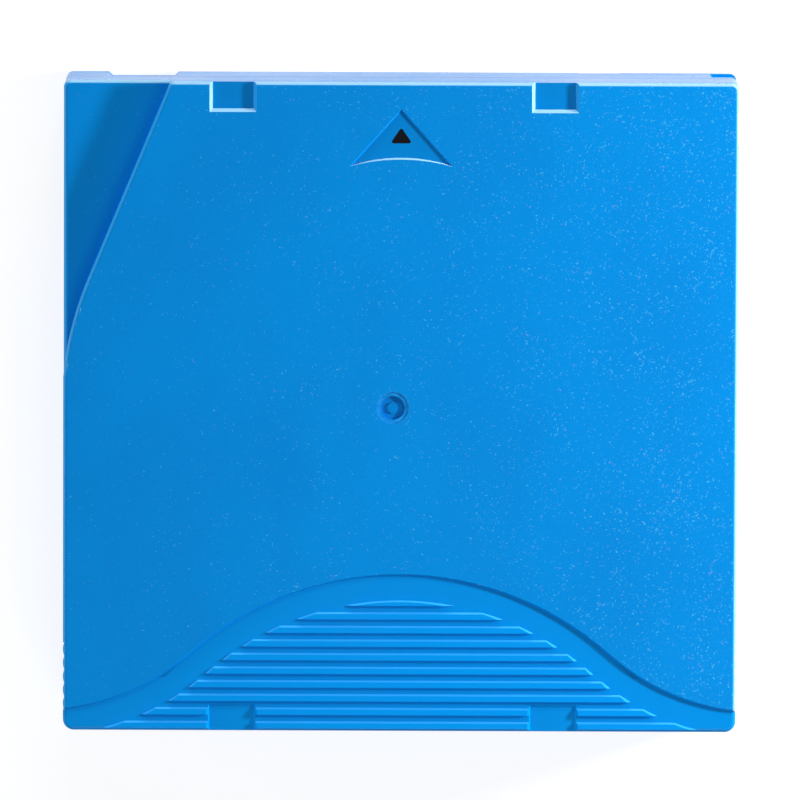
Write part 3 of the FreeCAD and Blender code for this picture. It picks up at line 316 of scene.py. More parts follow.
    def blend(self, share: Value, first: Socket | Colour, second: Socket | Colour) -> Socket:
        """Mix two colours.

        Args:
            share: Part of the second colour, from 0 to 1.
            first: Colour at 0.
            second: Colour at 1.

        Returns:
            The mixed colour.
        """
        made = self.node("ShaderNodeMix", data_type="RGBA")
        self.feed(made.inputs[MIX_SHARE], share)
        self.feed(made.inputs[MIX_FIRST], first)
        self.feed(made.inputs[MIX_SECOND], second)
        return made.outputs[MIX_RESULT]

    def relief(self, height: Socket, depth: float) -> Socket:
        """Turn a height into a bumped normal.

        Args:
            height: Height from 0 to 1.
            depth: What a height of 1 is, in metres.

        Returns:
            The normal.
        """
        made = self.node("ShaderNodeBump")
        made.inputs["Distance"].default_value = depth
        self.feed(made.inputs["Height"], height)
        return made.outputs["Normal"]

    def surface(self, **sockets: Value | Colour) -> bpy.types.Material:
        """Set the shader's sockets and give the material.

        Args:
            **sockets: Value of each socket, with _ for a space in its name.

        Returns:
            The material.
        """
        for key, value in sockets.items():
            self.feed(self.shader.inputs[key.replace("_", " ")], value)
        return self.material


def background_rays(tree: bpy.types.NodeTree) -> Socket:
    """Give 1 on rays that show the background: camera, glossy and transmission rays.

    Args:
        tree: Node tree to add the nodes to.

    Returns:
        The socket that carries the 1 or 0.
    """
    path = tree.nodes.new("ShaderNodeLightPath")
    total = path.outputs["Is Camera Ray"]
    for name in ("Is Glossy Ray", "Is Transmission Ray"):
        both = tree.nodes.new("ShaderNodeMath")
        both.operation = Operation.LARGER.value
        tree.links.new(total, both.inputs[0])
        tree.links.new(path.outputs[name], both.inputs[1])
        total = both.outputs[0]
    return total


# ------------------------------------------------------------------ finishes
class Facing(Enum):
    """Which way the lines of a finish run."""

    ALONG_X = (0.02, 1.0, 1.0)
    ALONG_Y = (1.0, 0.02, 1.0)
    ALONG_Z = (1.0, 1.0, 0.02)


def darker(colour: Colour, share: float) -> Colour:
    """Give a share of a colour's light, with its alpha left at 1."""
    red, green, blue = (channel * share for channel in colour[:3])
    return red, green, blue, 1.0


@dataclass(frozen=True)
class MouldedPlastic:
    """Plain injection moulded plastic with fine mould grain and faint flow marks."""

    name: str
    colour: Colour
    shade: Colour
    roughness: float = 0.38
    grain: Noise = Noise(3.0, 3.0, 0.6)
    grain_depth: float = 0.004 * MM
    grain_dulling: Step = Step(0.3, 0.75, -0.05, 0.05)
    flow: Noise = Noise(0.12, 4.0, stretch=(1.0, 0.35, 1.0))
    flow_tone: Step = Step(0.35, 0.7)
    flow_dulling: Step = Step(0.3, 0.7, -0.04, 0.05)
    gloss: float = 0.4

    def material(self) -> bpy.types.Material:
        """Build the material.

        Returns:
            The material.
        """
        graph = Graph(self.name)
        flow = graph.noise(self.flow)
        grain = graph.noise(self.grain)
        dulled = graph.step(flow, self.flow_dulling.about(self.roughness))
        return graph.surface(
            Base_Color=graph.blend(graph.step(flow, self.flow_tone), self.colour, self.shade),
            Roughness=graph.plus(dulled, graph.step(grain, self.grain_dulling)),
            Normal=graph.relief(grain, self.grain_depth),
            Specular_IOR_Level=self.gloss,
        )


@dataclass(frozen=True)
class GripOutline:
    """Hump of the finger grip: a crest arc between two flaring arcs, in millimetres."""

    crest_y: float = -26.4
    crest_r: float = 49.5
    flare_x: float = 56.7
    flare_r: float = 35.9
    crest_end: float = 0.45

    def outside(self, graph: Graph, x: Socket, y: Socket) -> Socket:
        """Mask all that lies ahead of the hump.

        Args:
            graph: Material being built.
            x: Place along X in millimetres.
            y: Place along Y in millimetres.

        Returns:
            1 outside the hump and 0 in the grip.
        """
        rise = math.sqrt((self.crest_r + self.flare_r) ** 2 - self.flare_x**2)
        centre_y = self.crest_y - self.crest_r
        side = graph.math(Operation.ABSOLUTE, x)
        crest = graph.radius(x, y, (0.0, centre_y))
        flare = graph.radius(side, y, (self.flare_x, centre_y + rise))
        over_crest = graph.math(Operation.MORE, crest, self.crest_r)
        in_flare = graph.math(Operation.LESS, flare, self.flare_r)
        crest_end_y = self.crest_y - self.flare_r * self.crest_end
        ahead = graph.math(Operation.MORE, y, crest_end_y)
        return graph.math(Operation.LARGER, in_flare, graph.times(over_crest, ahead))


@dataclass(frozen=True)
class Specks:
    """Uneven specks in loose clusters whose colour is painted glints, denser towards the right, as
    under the right lamp.
    """

    fleck: Noise = Noise(3.0)
    cluster: Noise = Noise(0.22, 3.0)
    crowding: float = 0.16
    # More specks towards +X stand in for glints under the right lamp: painted light.
    rightward_glint_lean_per_mm: float = 0.0008
    showing: Step = Step(0.715, 0.855)
    tint: Noise = Noise(1.1, 0.0)
    tint_level: float = 0.66

    def scatter(self, graph: Graph) -> tuple[Socket, Socket]:
        """Scatter the specks.

        Args:
            graph: Material being built.

        Returns:
            Strength of the specks, and 1 where they are violet.
        """
        x, _, _ = graph.parts(graph.place())
        crowd = graph.times(graph.noise(self.cluster), self.crowding)
        lean = graph.times(x, self.rightward_glint_lean_per_mm)
        height = graph.plus(graph.noise(self.fleck), graph.plus(crowd, lean))
        tinted = graph.math(Operation.MORE, graph.noise(self.tint), self.tint_level)
        return graph.step(height, self.showing), tinted


@dataclass(frozen=True)
class PaintedGateHighlight:
    """Painted highlight in an uneven ring round the moulding gate of the upper half, in
    millimetres.
    """

    gate_x: float = REEL_AXIS_X
    gate_r: float = 2.25
    width: Step = Step(0.42, 0.2)
    patch: Noise = Noise(0.9)
    patchiness: Step = Step(0.35, 0.6, 0.15, 0.6)

    def mask(self, graph: Graph, middle_z: float) -> Socket:
        """Mask the ring.

        Args:
            graph: Material being built.
            middle_z: Height in millimetres above which it shows.

        Returns:
            Share of the painted highlight, from 0 to a little over a half.
        """
        x, y, z = graph.parts(graph.place())
        off = graph.away(graph.radius(x, y, (self.gate_x, 0.0)), self.gate_r)
        above = graph.math(Operation.MORE, z, middle_z)
        patchy = graph.step(graph.noise(self.patch), self.patchiness)
        return graph.times(graph.step(off, self.width), above, patchy)


@dataclass(frozen=True)
class PaintedEdgeHighlights:
    """Painted highlights on the rounded and bevelled edges, strongest on those that lead on the way
    in.
    """

    # Pale cyan and near-white colours of painted highlights, not of the plastic.
    faint_highlight: Colour = srgb(50, 176, 255)
    strong_highlight: Colour = srgb(172, 226, 255)
    forward_share: float = 0.9
    sideways_share: float = 0.5
    off_level: Step = Step(0.99, 0.9)
    off_upright: Step = Step(0.05, 0.3)
    faint: Step = Step(0.05, 0.4, 0.0, 0.9)
    strong: Step = Step(0.1, 0.45, 0.0, 0.9)

    def paint_highlights(self, graph: Graph, colour: Socket, outside: Socket) -> Socket:
        """Paint highlights on the edges.

        Args:
            graph: Material being built.
            colour: Colour of the plastic so far.
            outside: 1 outside the hump of the grip.

        Returns:
            The colour with the painted edge highlights in it.
        """
        x, y, z = graph.parts(graph.coordinates.outputs["Normal"])
        upright = graph.math(Operation.ABSOLUTE, z)
        sloping = graph.times(
            graph.step(upright, self.off_level), graph.step(upright, self.off_upright)
        )
        # Sloping edges that face +Y and +X, towards the front and right lamps, get the strongest
        # painted highlight.
        forward = graph.times(y, self.forward_share)
        sideways = graph.times(x, self.sideways_share, outside)
        leading = graph.plus(forward, sideways)
        either = graph.plus(forward, graph.math(Operation.ABSOLUTE, sideways))
        faint = graph.times(sloping, graph.step(either, self.faint))
        strong = graph.times(sloping, graph.step(leading, self.strong), outside)
        return graph.blend(strong, graph.blend(faint, colour, self.faint_highlight), self.strong_highlight)


@dataclass(frozen=True)
class ShellPlastic:
    """Blue shell plastic: spark-eroded grain with specks in painted glint colours, smooth in grips
    and recesses, with painted shade on smooth faces outside the grip and painted highlights on
    edges and round the gate.
    """

    name: str = "shell_plastic"
    colour: Colour = srgb(0, 151, 240)
    shade: Colour = srgb(0, 146, 234)
    smooth: Colour = srgb(0, 155, 246)
    # Darker colour of the smooth faces outside the grip, such as the arrow and nick floors: painted
    # shade.
    recess: Colour = srgb(0, 141, 226)
    # Bright cyan and violet colours of painted glints on the specks.
    painted_glint: Colour = srgb(90, 200, 255)
    violet: Colour = srgb(120, 160, 255)
    gloss: float = 0.1
    height: float = 21.5
    step_drop: float = 2.9
    skin: float = 0.12
    flow: Noise = Noise(0.05, 4.0, stretch=(1.0, 0.6, 1.0))
    flow_tone: Step = Step(0.35, 0.65)
    flow_dulling: Step = Step(0.3, 0.7, -0.03, 0.03)
    grained_dulling: Step = Step(0.0, 1.0, 0.22, 0.5)
    grain: Noise = Noise(4.2, 3.0, 0.65)
    grained_relief: Step = Step(0.0, 1.0, 0.12, 1.0)
    relief_depth: float = 0.014 * MM
    # Share of painted glint colour on the specks.
    painted_glint_share: float = 0.7
    speck_relief: float = 0.8
    grip: GripOutline = GripOutline()
    specks: Specks = Specks()
    gate: PaintedGateHighlight = PaintedGateHighlight()
    edge_highlights: PaintedEdgeHighlights = PaintedEdgeHighlights()

    def zones(self, graph: Graph) -> tuple[Socket, Socket]:
        """Mask the spark-eroded skin, which is the outermost faces, and what is not the grip.

        Args:
            graph: Material being built.

        Returns:
            1 on the grained skin and 0 on smooth areas, then 1 outside the hump and 0 in the grip.
        """
        x, y, z = graph.parts(graph.place())
        half = self.height / 2
        from_middle = graph.away(z, half)
        skin = graph.math(Operation.MORE, from_middle, half - self.skin)
        stepped = half - self.step_drop
        lower = graph.math(Operation.MORE, from_middle, stepped - self.skin)
        higher = graph.math(Operation.LESS, from_middle, stepped + self.skin)
        floor = graph.times(lower, higher, graph.math(Operation.MORE, y, 0.0))
        outside = self.grip.outside(graph, x, y)
        return graph.math(Operation.LARGER, graph.times(skin, outside), floor), outside

    def material(self) -> bpy.types.Material:
        """Build the material.

        Returns:
            The material.
        """
        graph = Graph(self.name)
        grained, outside = self.zones(graph)
        flow = graph.noise(self.flow)
        body = graph.blend(graph.step(flow, self.flow_tone), self.colour, self.shade)
        # Smooth faces outside the grip take the darker recess colour as painted shade; the grip
        # keeps the smooth colour.
        plain = graph.blend(outside, self.smooth, self.recess)
        strength, tinted = self.specks.scatter(graph)
        speck = graph.times(strength, grained)
        # The specks take painted glint colours; their bump below is real grain relief.
        painted_glint = graph.blend(tinted, self.painted_glint, self.violet)
        skin = graph.blend(grained, plain, body)
        colour = graph.blend(graph.times(speck, self.painted_glint_share), skin, painted_glint)
        # Painted highlights on the sloping edges, strongest on those facing the front and right
        # lamps.
        highlighted = self.edge_highlights.paint_highlights(graph, colour, outside)
        # Uneven ring of painted highlight round the moulding gate.
        gate_highlight = self.gate.mask(graph, self.height / 2)
        grain = graph.times(graph.noise(self.grain), graph.step(grained, self.grained_relief))
        height = graph.plus(grain, graph.times(speck, self.speck_relief))
        dulled = graph.step(grained, self.grained_dulling)
        return graph.surface(
            # The gate ring is painted in the faint highlight colour: a painted highlight.
            Base_Color=graph.blend(gate_highlight, highlighted, self.edge_highlights.faint_highlight),
            Roughness=graph.plus(dulled, graph.step(flow, self.flow_dulling)),
            Normal=graph.relief(height, self.relief_depth),
            Specular_IOR_Level=self.gloss,
        )


@dataclass(frozen=True)
class BrushedMetal:
    """Bright metal with fine lines one way and faint stains."""

    name: str
    colour: Colour
    facing: Facing
    roughness: float = 0.26
    lines_per_mm: float = 9.0
    line_dulling: Step = Step(0.25, 0.8, -0.08, 0.12)
    line_depth: float = 0.003 * MM
    stain: Noise = Noise(0.5, 3.0)
    staining: Step = Step(0.4, 0.75)
    stained: float = 0.8

    def material(self) -> bpy.types.Material:
        """Build the material.

        Returns:
            The material.
        """
        graph = Graph(self.name)
        lines = graph.noise(Noise(self.lines_per_mm, 3.0, 0.6, self.facing.value))
        stain = graph.step(graph.noise(self.stain), self.staining)
        return graph.surface(
            Base_Color=graph.blend(stain, self.colour, darker(self.colour, self.stained)),
            Metallic=1.0,
            Roughness=graph.step(lines, self.line_dulling.about(self.roughness)),
            Normal=graph.relief(lines, self.line_depth),
        )


@dataclass(frozen=True)
class TurnedMetal:
    """Metal plate with fine circular tool lines about an upright axis."""

    name: str
    colour: Colour
    axis_x: float
    roughness: float = 0.3
    tool_lines: Noise = Noise(7.0, 4.0, 0.7)
    line_dulling: Step = Step(0.3, 0.7, -0.08, 0.12)
    line_depth: float = 0.004 * MM
    stain: Noise = Noise(0.35, 3.0)
    staining: Step = Step(0.4, 0.7)
    stained: float = 0.82

    def material(self) -> bpy.types.Material:
        """Build the material.

        Returns:
            The material.
        """
        graph = Graph(self.name)
        lines = graph.noise(self.tool_lines, graph.rings(self.axis_x))
        stain = graph.step(graph.noise(self.stain), self.staining)
        return graph.surface(
            Base_Color=graph.blend(stain, self.colour, darker(self.colour, self.stained)),
            Metallic=1.0,
            Roughness=graph.step(lines, self.line_dulling.about(self.roughness)),
            Normal=graph.relief(lines, self.line_depth),
        )


@dataclass(frozen=True)
class TapeFilm:
    """Coated tape: wound turns show as rings at the ends, and the face is smooth film."""

    name: str = "tape"
    coat: Colour = srgb(40, 33, 31)
    edge: Colour = srgb(74, 60, 52)
    axis_x: float = REEL_AXIS_X
    turns: Noise = Noise(5.0, 6.0, 0.75)
    turn_tone: Step = Step(0.3, 0.75, 0.0, 0.6)
    turn_dulling: Step = Step(0.3, 0.7, 0.2, 0.36)
    turn_depth: float = 0.006 * MM
    bands: Noise = Noise(0.35)
    band_tone: Step = Step(0.4, 0.7, 0.0, 0.4)
    gloss: float = 0.5

    def material(self) -> bpy.types.Material:
        """Build the material.

        Returns:
            The material.
        """
        graph = Graph(self.name)
        rings = graph.rings(self.axis_x)
        turns = graph.noise(self.turns, rings)
        bands = graph.step(graph.noise(self.bands, rings), self.band_tone)
        tone = graph.plus(graph.step(turns, self.turn_tone), bands)
        return graph.surface(
            Base_Color=graph.blend(tone, self.coat, self.edge),
            Roughness=graph.step(turns, self.turn_dulling),
            Normal=graph.relief(turns, self.turn_depth),
            Specular_IOR_Level=self.gloss,
        )


@dataclass(frozen=True)
class CircuitBoard:
    """Lacquered board with a square coil of copper under the lacquer."""

    name: str = "tag_board"
    lacquer: Colour = srgb(28, 92, 58)
    track: Colour = srgb(92, 132, 70)
    pitch: float = 0.55
    track_share: float = 0.5
    coil_inset: float = 2.4
    slant_share: float = 0.75
    weave: Noise = Noise(6.0)
    weave_dulling: Step = Step(0.3, 0.7, 0.22, 0.34)
    weave_relief: float = 0.3
    relief_depth: float = 0.02 * MM
    gloss: float = 0.5

    def material(self, middle: Vector) -> bpy.types.Material:
        """Build the material.

        Args:
            middle: Middle of the board in metres; the coil runs round it.

        Returns:
            The material.
        """
        graph = Graph(self.name)
        x, y, z = graph.parts(graph.place())
        along = graph.away(x, middle.x / MM)
        rise = graph.math(Operation.SUBTRACT, z, middle.z / MM)
        depth = graph.math(Operation.SUBTRACT, y, middle.y / MM)
        up = graph.math(Operation.ABSOLUTE, graph.plus(rise, depth))
        inset = graph.math(Operation.LARGER, along, graph.times(up, self.slant_share))
        wave = graph.math(Operation.FRACTION, graph.math(Operation.DIVIDE, inset, self.pitch))
        on_track = graph.math(Operation.MORE, wave, self.track_share)
        in_coil = graph.math(Operation.MORE, inset, self.coil_inset)
        copper = graph.times(on_track, in_coil)
        weave = graph.noise(self.weave)
        height = graph.plus(copper, graph.times(weave, self.weave_relief))
        return graph.surface(
            Base_Color=graph.blend(copper, self.lacquer, self.track),
            Roughness=graph.step(weave, self.weave_dulling),
            Normal=graph.relief(height, self.relief_depth),
            Specular_IOR_Level=self.gloss,
        )


@dataclass(frozen=True)
class Ink:
    """Dense black ink with a slightly uneven, dull film."""

    name: str = "printed_ink"
    black: Colour = srgb(8, 8, 14)
    thin: Colour = srgb(18, 20, 30)
    cover: Noise = Noise(5.0, 3.0)
    thinning: Step = Step(0.55, 0.8, 0.0, 0.5)
    dulling: Step = Step(0.3, 0.7, 0.6, 0.72)
    relief_depth: float = 0.003 * MM
    gloss: float = 0.08

    def material(self) -> bpy.types.Material:
        """Build the material.

        Returns:
            The material.
        """
        graph = Graph(self.name)
        cover = graph.noise(self.cover)
        return graph.surface(
            Base_Color=graph.blend(graph.step(cover, self.thinning), self.black, self.thin),
            Roughness=graph.step(cover, self.dulling),
            Normal=graph.relief(cover, self.relief_depth),
            Specular_IOR_Level=self.gloss,
        )


@dataclass(frozen=True)
class Paper:
    """Floor paper, which glows white where it is seen and takes the shadow."""

    name: str = "floor_paper"
    dark: Colour = (0.42, 0.42, 0.42, 1.0)
    light: Colour = (0.44, 0.44, 0.44, 1.0)
    grain: Noise = Noise(0.4, 3.0)
    roughness: float = 0.9
    glow: float = 0.8

    def material(self) -> bpy.types.Material:
        """Build the material.

        Returns:
            The material.
        """
        graph = Graph(self.name)
        seen = background_rays(graph.tree)
        return graph.surface(
            Base_Color=graph.blend(graph.noise(self.grain), self.dark, self.light),
            Roughness=self.roughness,
            Emission_Color=WHITE,
            Emission_Strength=graph.times(seen, self.glow),
            Specular_IOR_Level=0.0,
        )


# ------------------------------------------------------------------ mesh building
def new_piece(
    name: str, body: str, points: Sequence[Vector], faces: Sequence[Sequence[int]]
) -> bpy.types.Object:
    """Make a mesh piece that rides on a body.

    Args:
        name: Name of the piece.
        body: CAD body it moves with.
        points: Corners in metres.
        faces: Corner numbers of each face.

    Returns:
        The linked object.
    """
    mesh = bpy.data.meshes.new(name)
    mesh.from_pydata([tuple(point) for point in points], [], [tuple(face) for face in faces])
    mesh.validate()
    mesh.update()
    piece = bpy.data.objects.new(name, mesh)
    bpy.context.scene.collection.objects.link(piece)
    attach(piece, body)
    return piece


def bridge(first: int, count: int, rings: int) -> list[tuple[int, int, int, int]]:
    """List the faces between rings of corners that follow each other.

    Args:
        first: Number of the first corner of the first ring.
        count: Corners in a ring.
        rings: Number of rings.

    Returns:
        Four corner numbers for each face.
    """
    faces = []
    for ring in range(rings - 1):
        low = first + ring * count
        for index in range(count):
            after = (index + 1) % count
            faces.append((low + index, low + after, low + count + after, low + count + index))
    return faces


def ends(first: int, last: int, count: int) -> list[tuple[int, ...]]:
    """List the two faces that close a run of rings, from their first corners, both outward."""
    return [tuple(reversed(range(first, first + count))), tuple(range(last, last + count))]


def dress(piece: bpy.types.Object, material: bpy.types.Material, smooth: float = 0.0) -> None:
    """Give a piece its only material.

    Args:
        piece: Piece or CAD node.
        material: Finish to show.
        smooth: Edge angle in degrees under which a new piece is shaded smooth, 0 to leave it.
    """
    if piece.material_slots:
        for held in piece.material_slots:
            held.material = material
    else:
        piece.data.materials.append(material)
    if smooth:
        piece.data.shade_smooth()
        piece.data.set_sharp_from_angle(angle=math.radians(smooth))


def dress_node(name: str, material: bpy.types.Material) -> None:
    """Give a CAD node its finish."""
    dress(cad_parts[name], material)
    report(name, material.name)


@dataclass(frozen=True)
class CoilSpring:
    """Compression spring of round wire with closed ends, wound about an axis of the part."""

    wire_r: float
    coil_r: float
    turns: float
    steps: int
    sides: int
    closed_pitch: float = 2.04
    smooth_angle: float = 60.0

    def height(self, turn: float, length: float) -> float:
        """Give how far along the spring the wire has climbed.

        Args:
            turn: Turns from the start.
            length: Length of the spring between the middles of its end wires.

        Returns:
            Distance from the middle of the first wire.
        """
        closed = self.closed_pitch * self.wire_r
        climb = (length - 2 * closed) / (self.turns - 2)
        if turn < 1:
            return turn * closed
        if turn > self.turns - 1:
            return length - (self.turns - turn) * closed
        return closed + (turn - 1) * climb

    def points(self, low: Vector, high: Vector) -> list[Vector]:
        """Place rings of corners along the wire, inside a box that is longest along the spring.

        Args:
            low: Lowest corner of the box.
            high: Highest corner of the box.

        Returns:
            The corners, ring by ring.
        """
        axis = Vector((0, 0, 1)) if self.upright(low, high) else Vector((0, 1, 0))
        across = Vector((1, 0, 0))
        third = axis.cross(across)
        middle = (low + high) / 2
        length = (high - low).dot(axis) - 2 * self.wire_r
        start = middle - axis * (length / 2)
        corners = []
        for step in range(round(self.turns * self.steps) + 1):
            turn = step / self.steps
            angle = math.tau * turn
            outward = across * math.cos(angle) + third * math.sin(angle)
            centre = start + outward * self.coil_r + axis * self.height(turn, length)
            for side in range(self.sides):
                lean = -math.tau * side / self.sides
                spoke = outward * math.cos(lean) + axis * math.sin(lean)
                corners.append(centre + spoke * self.wire_r)
        return corners

    def upright(self, low: Vector, high: Vector) -> bool:
        """Tell whether the spring stands along Z: its box is then square seen from above."""
        size = high - low
        return abs(size.x - size.y) < self.wire_r

    def build(self, name: str, material: bpy.types.Material) -> bpy.types.Object:
        """Make the spring in the place of a CAD node, and hide that node.

        Args:
            name: Name of the CAD node.
            material: Finish of the wire.

        Returns:
            The spring.
        """
        corners = self.points(*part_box(name))
        faces: list[Sequence[int]] = list(bridge(0, self.sides, len(corners) // self.sides))
        faces += ends(0, len(corners) - self.sides, self.sides)
        piece = new_piece(f"{name}_coil", "shell", corners, faces)
        dress(piece, material, self.smooth_angle)
        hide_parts(name)
        report(piece.name, f"{self.turns} turns")
        return piece


# ------------------------------------------------------------------ sub-assemblies
@dataclass
class Shell:
    """Both shell halves."""

    finish: ShellPlastic = ShellPlastic()

    def build(self) -> None:
        """Dress both halves in the blue plastic."""
        material = self.finish.material()
        for half in ("upper_shell", "lower_shell"):
            dress_node(half, material)


@dataclass
class InsertionMark:
    """Small black triangle printed on the floor of the arrow recess."""

    apex_y: float = 43.95 * MM
    base_y: float = 41.45 * MM
    width: float = 3.45 * MM
    corner_r: float = 0.28 * MM
    recess: float = 0.3 * MM
    film: float = 0.012 * MM
    corner_steps: int = 6
    finish: Ink = Ink()

    def outline(self) -> list[tuple[float, float]]:
        """Walk round the triangle with rounded corners.

        Returns:
            The corners of its outline.
        """
        half_w = self.width / 2
        corners = [(0.0, self.apex_y), (-half_w, self.base_y), (half_w, self.base_y)]
        points = []
        for index, corner in enumerate(corners):
            here = Vector(corner)
            back = (Vector(corners[index - 1]) - here).normalized()
            on = (Vector(corners[(index + 1) % 3]) - here).normalized()
            half = back.angle(on) / 2
            centre = here + (back + on).normalized() * (self.corner_r / math.sin(half))
            start = here + back * (self.corner_r / math.tan(half)) - centre
            sweep = math.pi - 2 * half
            for step in range(self.corner_steps + 1):
                turned = Matrix.Rotation(sweep * step / self.corner_steps, 2) @ start
                points.append((centre.x + turned.x, centre.y + turned.y))
        return points

    def build(self) -> None:
        """Make the printed film."""
        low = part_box("upper_shell")[1].z - self.recess
        ring = self.outline()
        count = len(ring)
        points = [Vector((x, y, low + rise)) for rise in (0.0, self.film) for x, y in ring]
        faces = ends(0, count, count) + bridge(0, count, 2)
        piece = new_piece("insertion_mark", "shell", points, faces)
        dress(piece, self.finish.material())
        report(piece.name, f"{count} corners")


@dataclass
class Reel:
    """Hub, flange, tape and drive plate."""

    white: MouldedPlastic = MouldedPlastic(
        "reel_plastic", srgb(226, 228, 228), srgb(214, 217, 219), 0.34
    )
    tape: TapeFilm = TapeFilm()
    steel: TurnedMetal = TurnedMetal("drive_steel", srgb(190, 192, 196), REEL_AXIS_X)

    def build(self) -> None:
        """Dress the four pieces of the reel."""
        moulded = self.white.material()
        dress_node("reel_hub", moulded)
        dress_node("upper_flange", moulded)
        dress_node("tape_pack", self.tape.material())
        dress_node("drive_plate", self.steel.material())


@dataclass
class Brake:
    """Brake button, its spring and the release under it."""

    button: MouldedPlastic = MouldedPlastic(
        "brake_plastic", srgb(222, 220, 208), srgb(210, 208, 197), 0.36
    )
    release: MouldedPlastic = MouldedPlastic(
        "release_plastic", srgb(72, 75, 80), srgb(62, 65, 70), 0.4
    )
    wire: BrushedMetal = BrushedMetal("brake_wire", srgb(176, 178, 182), Facing.ALONG_Z)
    spring: CoilSpring = CoilSpring(0.45 * MM, 7.4 * MM, turns=6.0, steps=48, sides=12)
    spring_seat: float = 19.45 * MM
    spring_kept: float = 0.866

    def build(self) -> None:
        """Dress the brake pieces and wind the spring."""
        dress_node("brake_button", self.button.material())
        dress_node("brake_release", self.release.material())
        coil = self.spring.build("brake_spring", self.wire.material())
        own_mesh(coil)


@dataclass
class Door:
    """Tape door and its spring."""

    plate: MouldedPlastic = MouldedPlastic(
        "door_plastic", srgb(46, 49, 54), srgb(38, 41, 46), 0.42
    )
    wire: BrushedMetal = BrushedMetal("door_wire", srgb(176, 178, 182), Facing.ALONG_Y)
    spring: CoilSpring = CoilSpring(0.16 * MM, 0.9 * MM, turns=12.0, steps=20, sides=8)
    spring_stop: float = 14.05 * MM
    spring_kept: float = 0.366

    def build(self) -> None:
        """Dress the door and wind its spring."""
        dress_node("tape_door", self.plate.material())
        coil = self.spring.build("door_spring", self.wire.material())
        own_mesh(coil)


@dataclass
class Leader:
    """Leader pin, clamp, leader and the two leaf springs."""

    pin: BrushedMetal = BrushedMetal("pin_steel", srgb(200, 202, 205), Facing.ALONG_X, 0.2)
    clamp: MouldedPlastic = MouldedPlastic(
        "clamp_plastic", srgb(232, 230, 218), srgb(222, 219, 205), 0.3
    )
    film: TapeFilm = TapeFilm("leader_film")
    leaf: BrushedMetal = BrushedMetal("leaf_steel", srgb(182, 184, 188), Facing.ALONG_Y)

    def build(self) -> None:
        """Dress the pieces at the end of the tape."""
        dress_node("leader_pin", self.pin.material())
        dress_node("pin_clamp", self.clamp.material())
        dress_node("tape_leader", self.film.material())
        leaf = self.leaf.material()
        dress_node("pin_spring_lower", leaf)
        dress_node("pin_spring_upper", leaf)


@dataclass
class WriteProtect:
    """Slider in the rear wall."""

    finish: MouldedPlastic = MouldedPlastic(
        "slider_plastic", srgb(205, 62, 40), srgb(192, 54, 34), 0.36
    )

    def build(self) -> None:
        """Dress the slider."""
        dress_node("write_protect_slider", self.finish.material())


@dataclass
class MemoryTag:
    """Memory board and its chip."""

    board: CircuitBoard = CircuitBoard()
    chip: MouldedPlastic = MouldedPlastic(
        "chip", srgb(34, 34, 37), srgb(42, 42, 45), 0.5, Noise(8.0, 3.0, 0.6), 0.003 * MM
    )

    def build(self) -> None:
        """Dress the board and the chip."""
        low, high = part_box("memory_tag")
        dress_node("memory_tag", self.board.material((low + high) / 2))
        dress_node("memory_chip", self.chip.material())


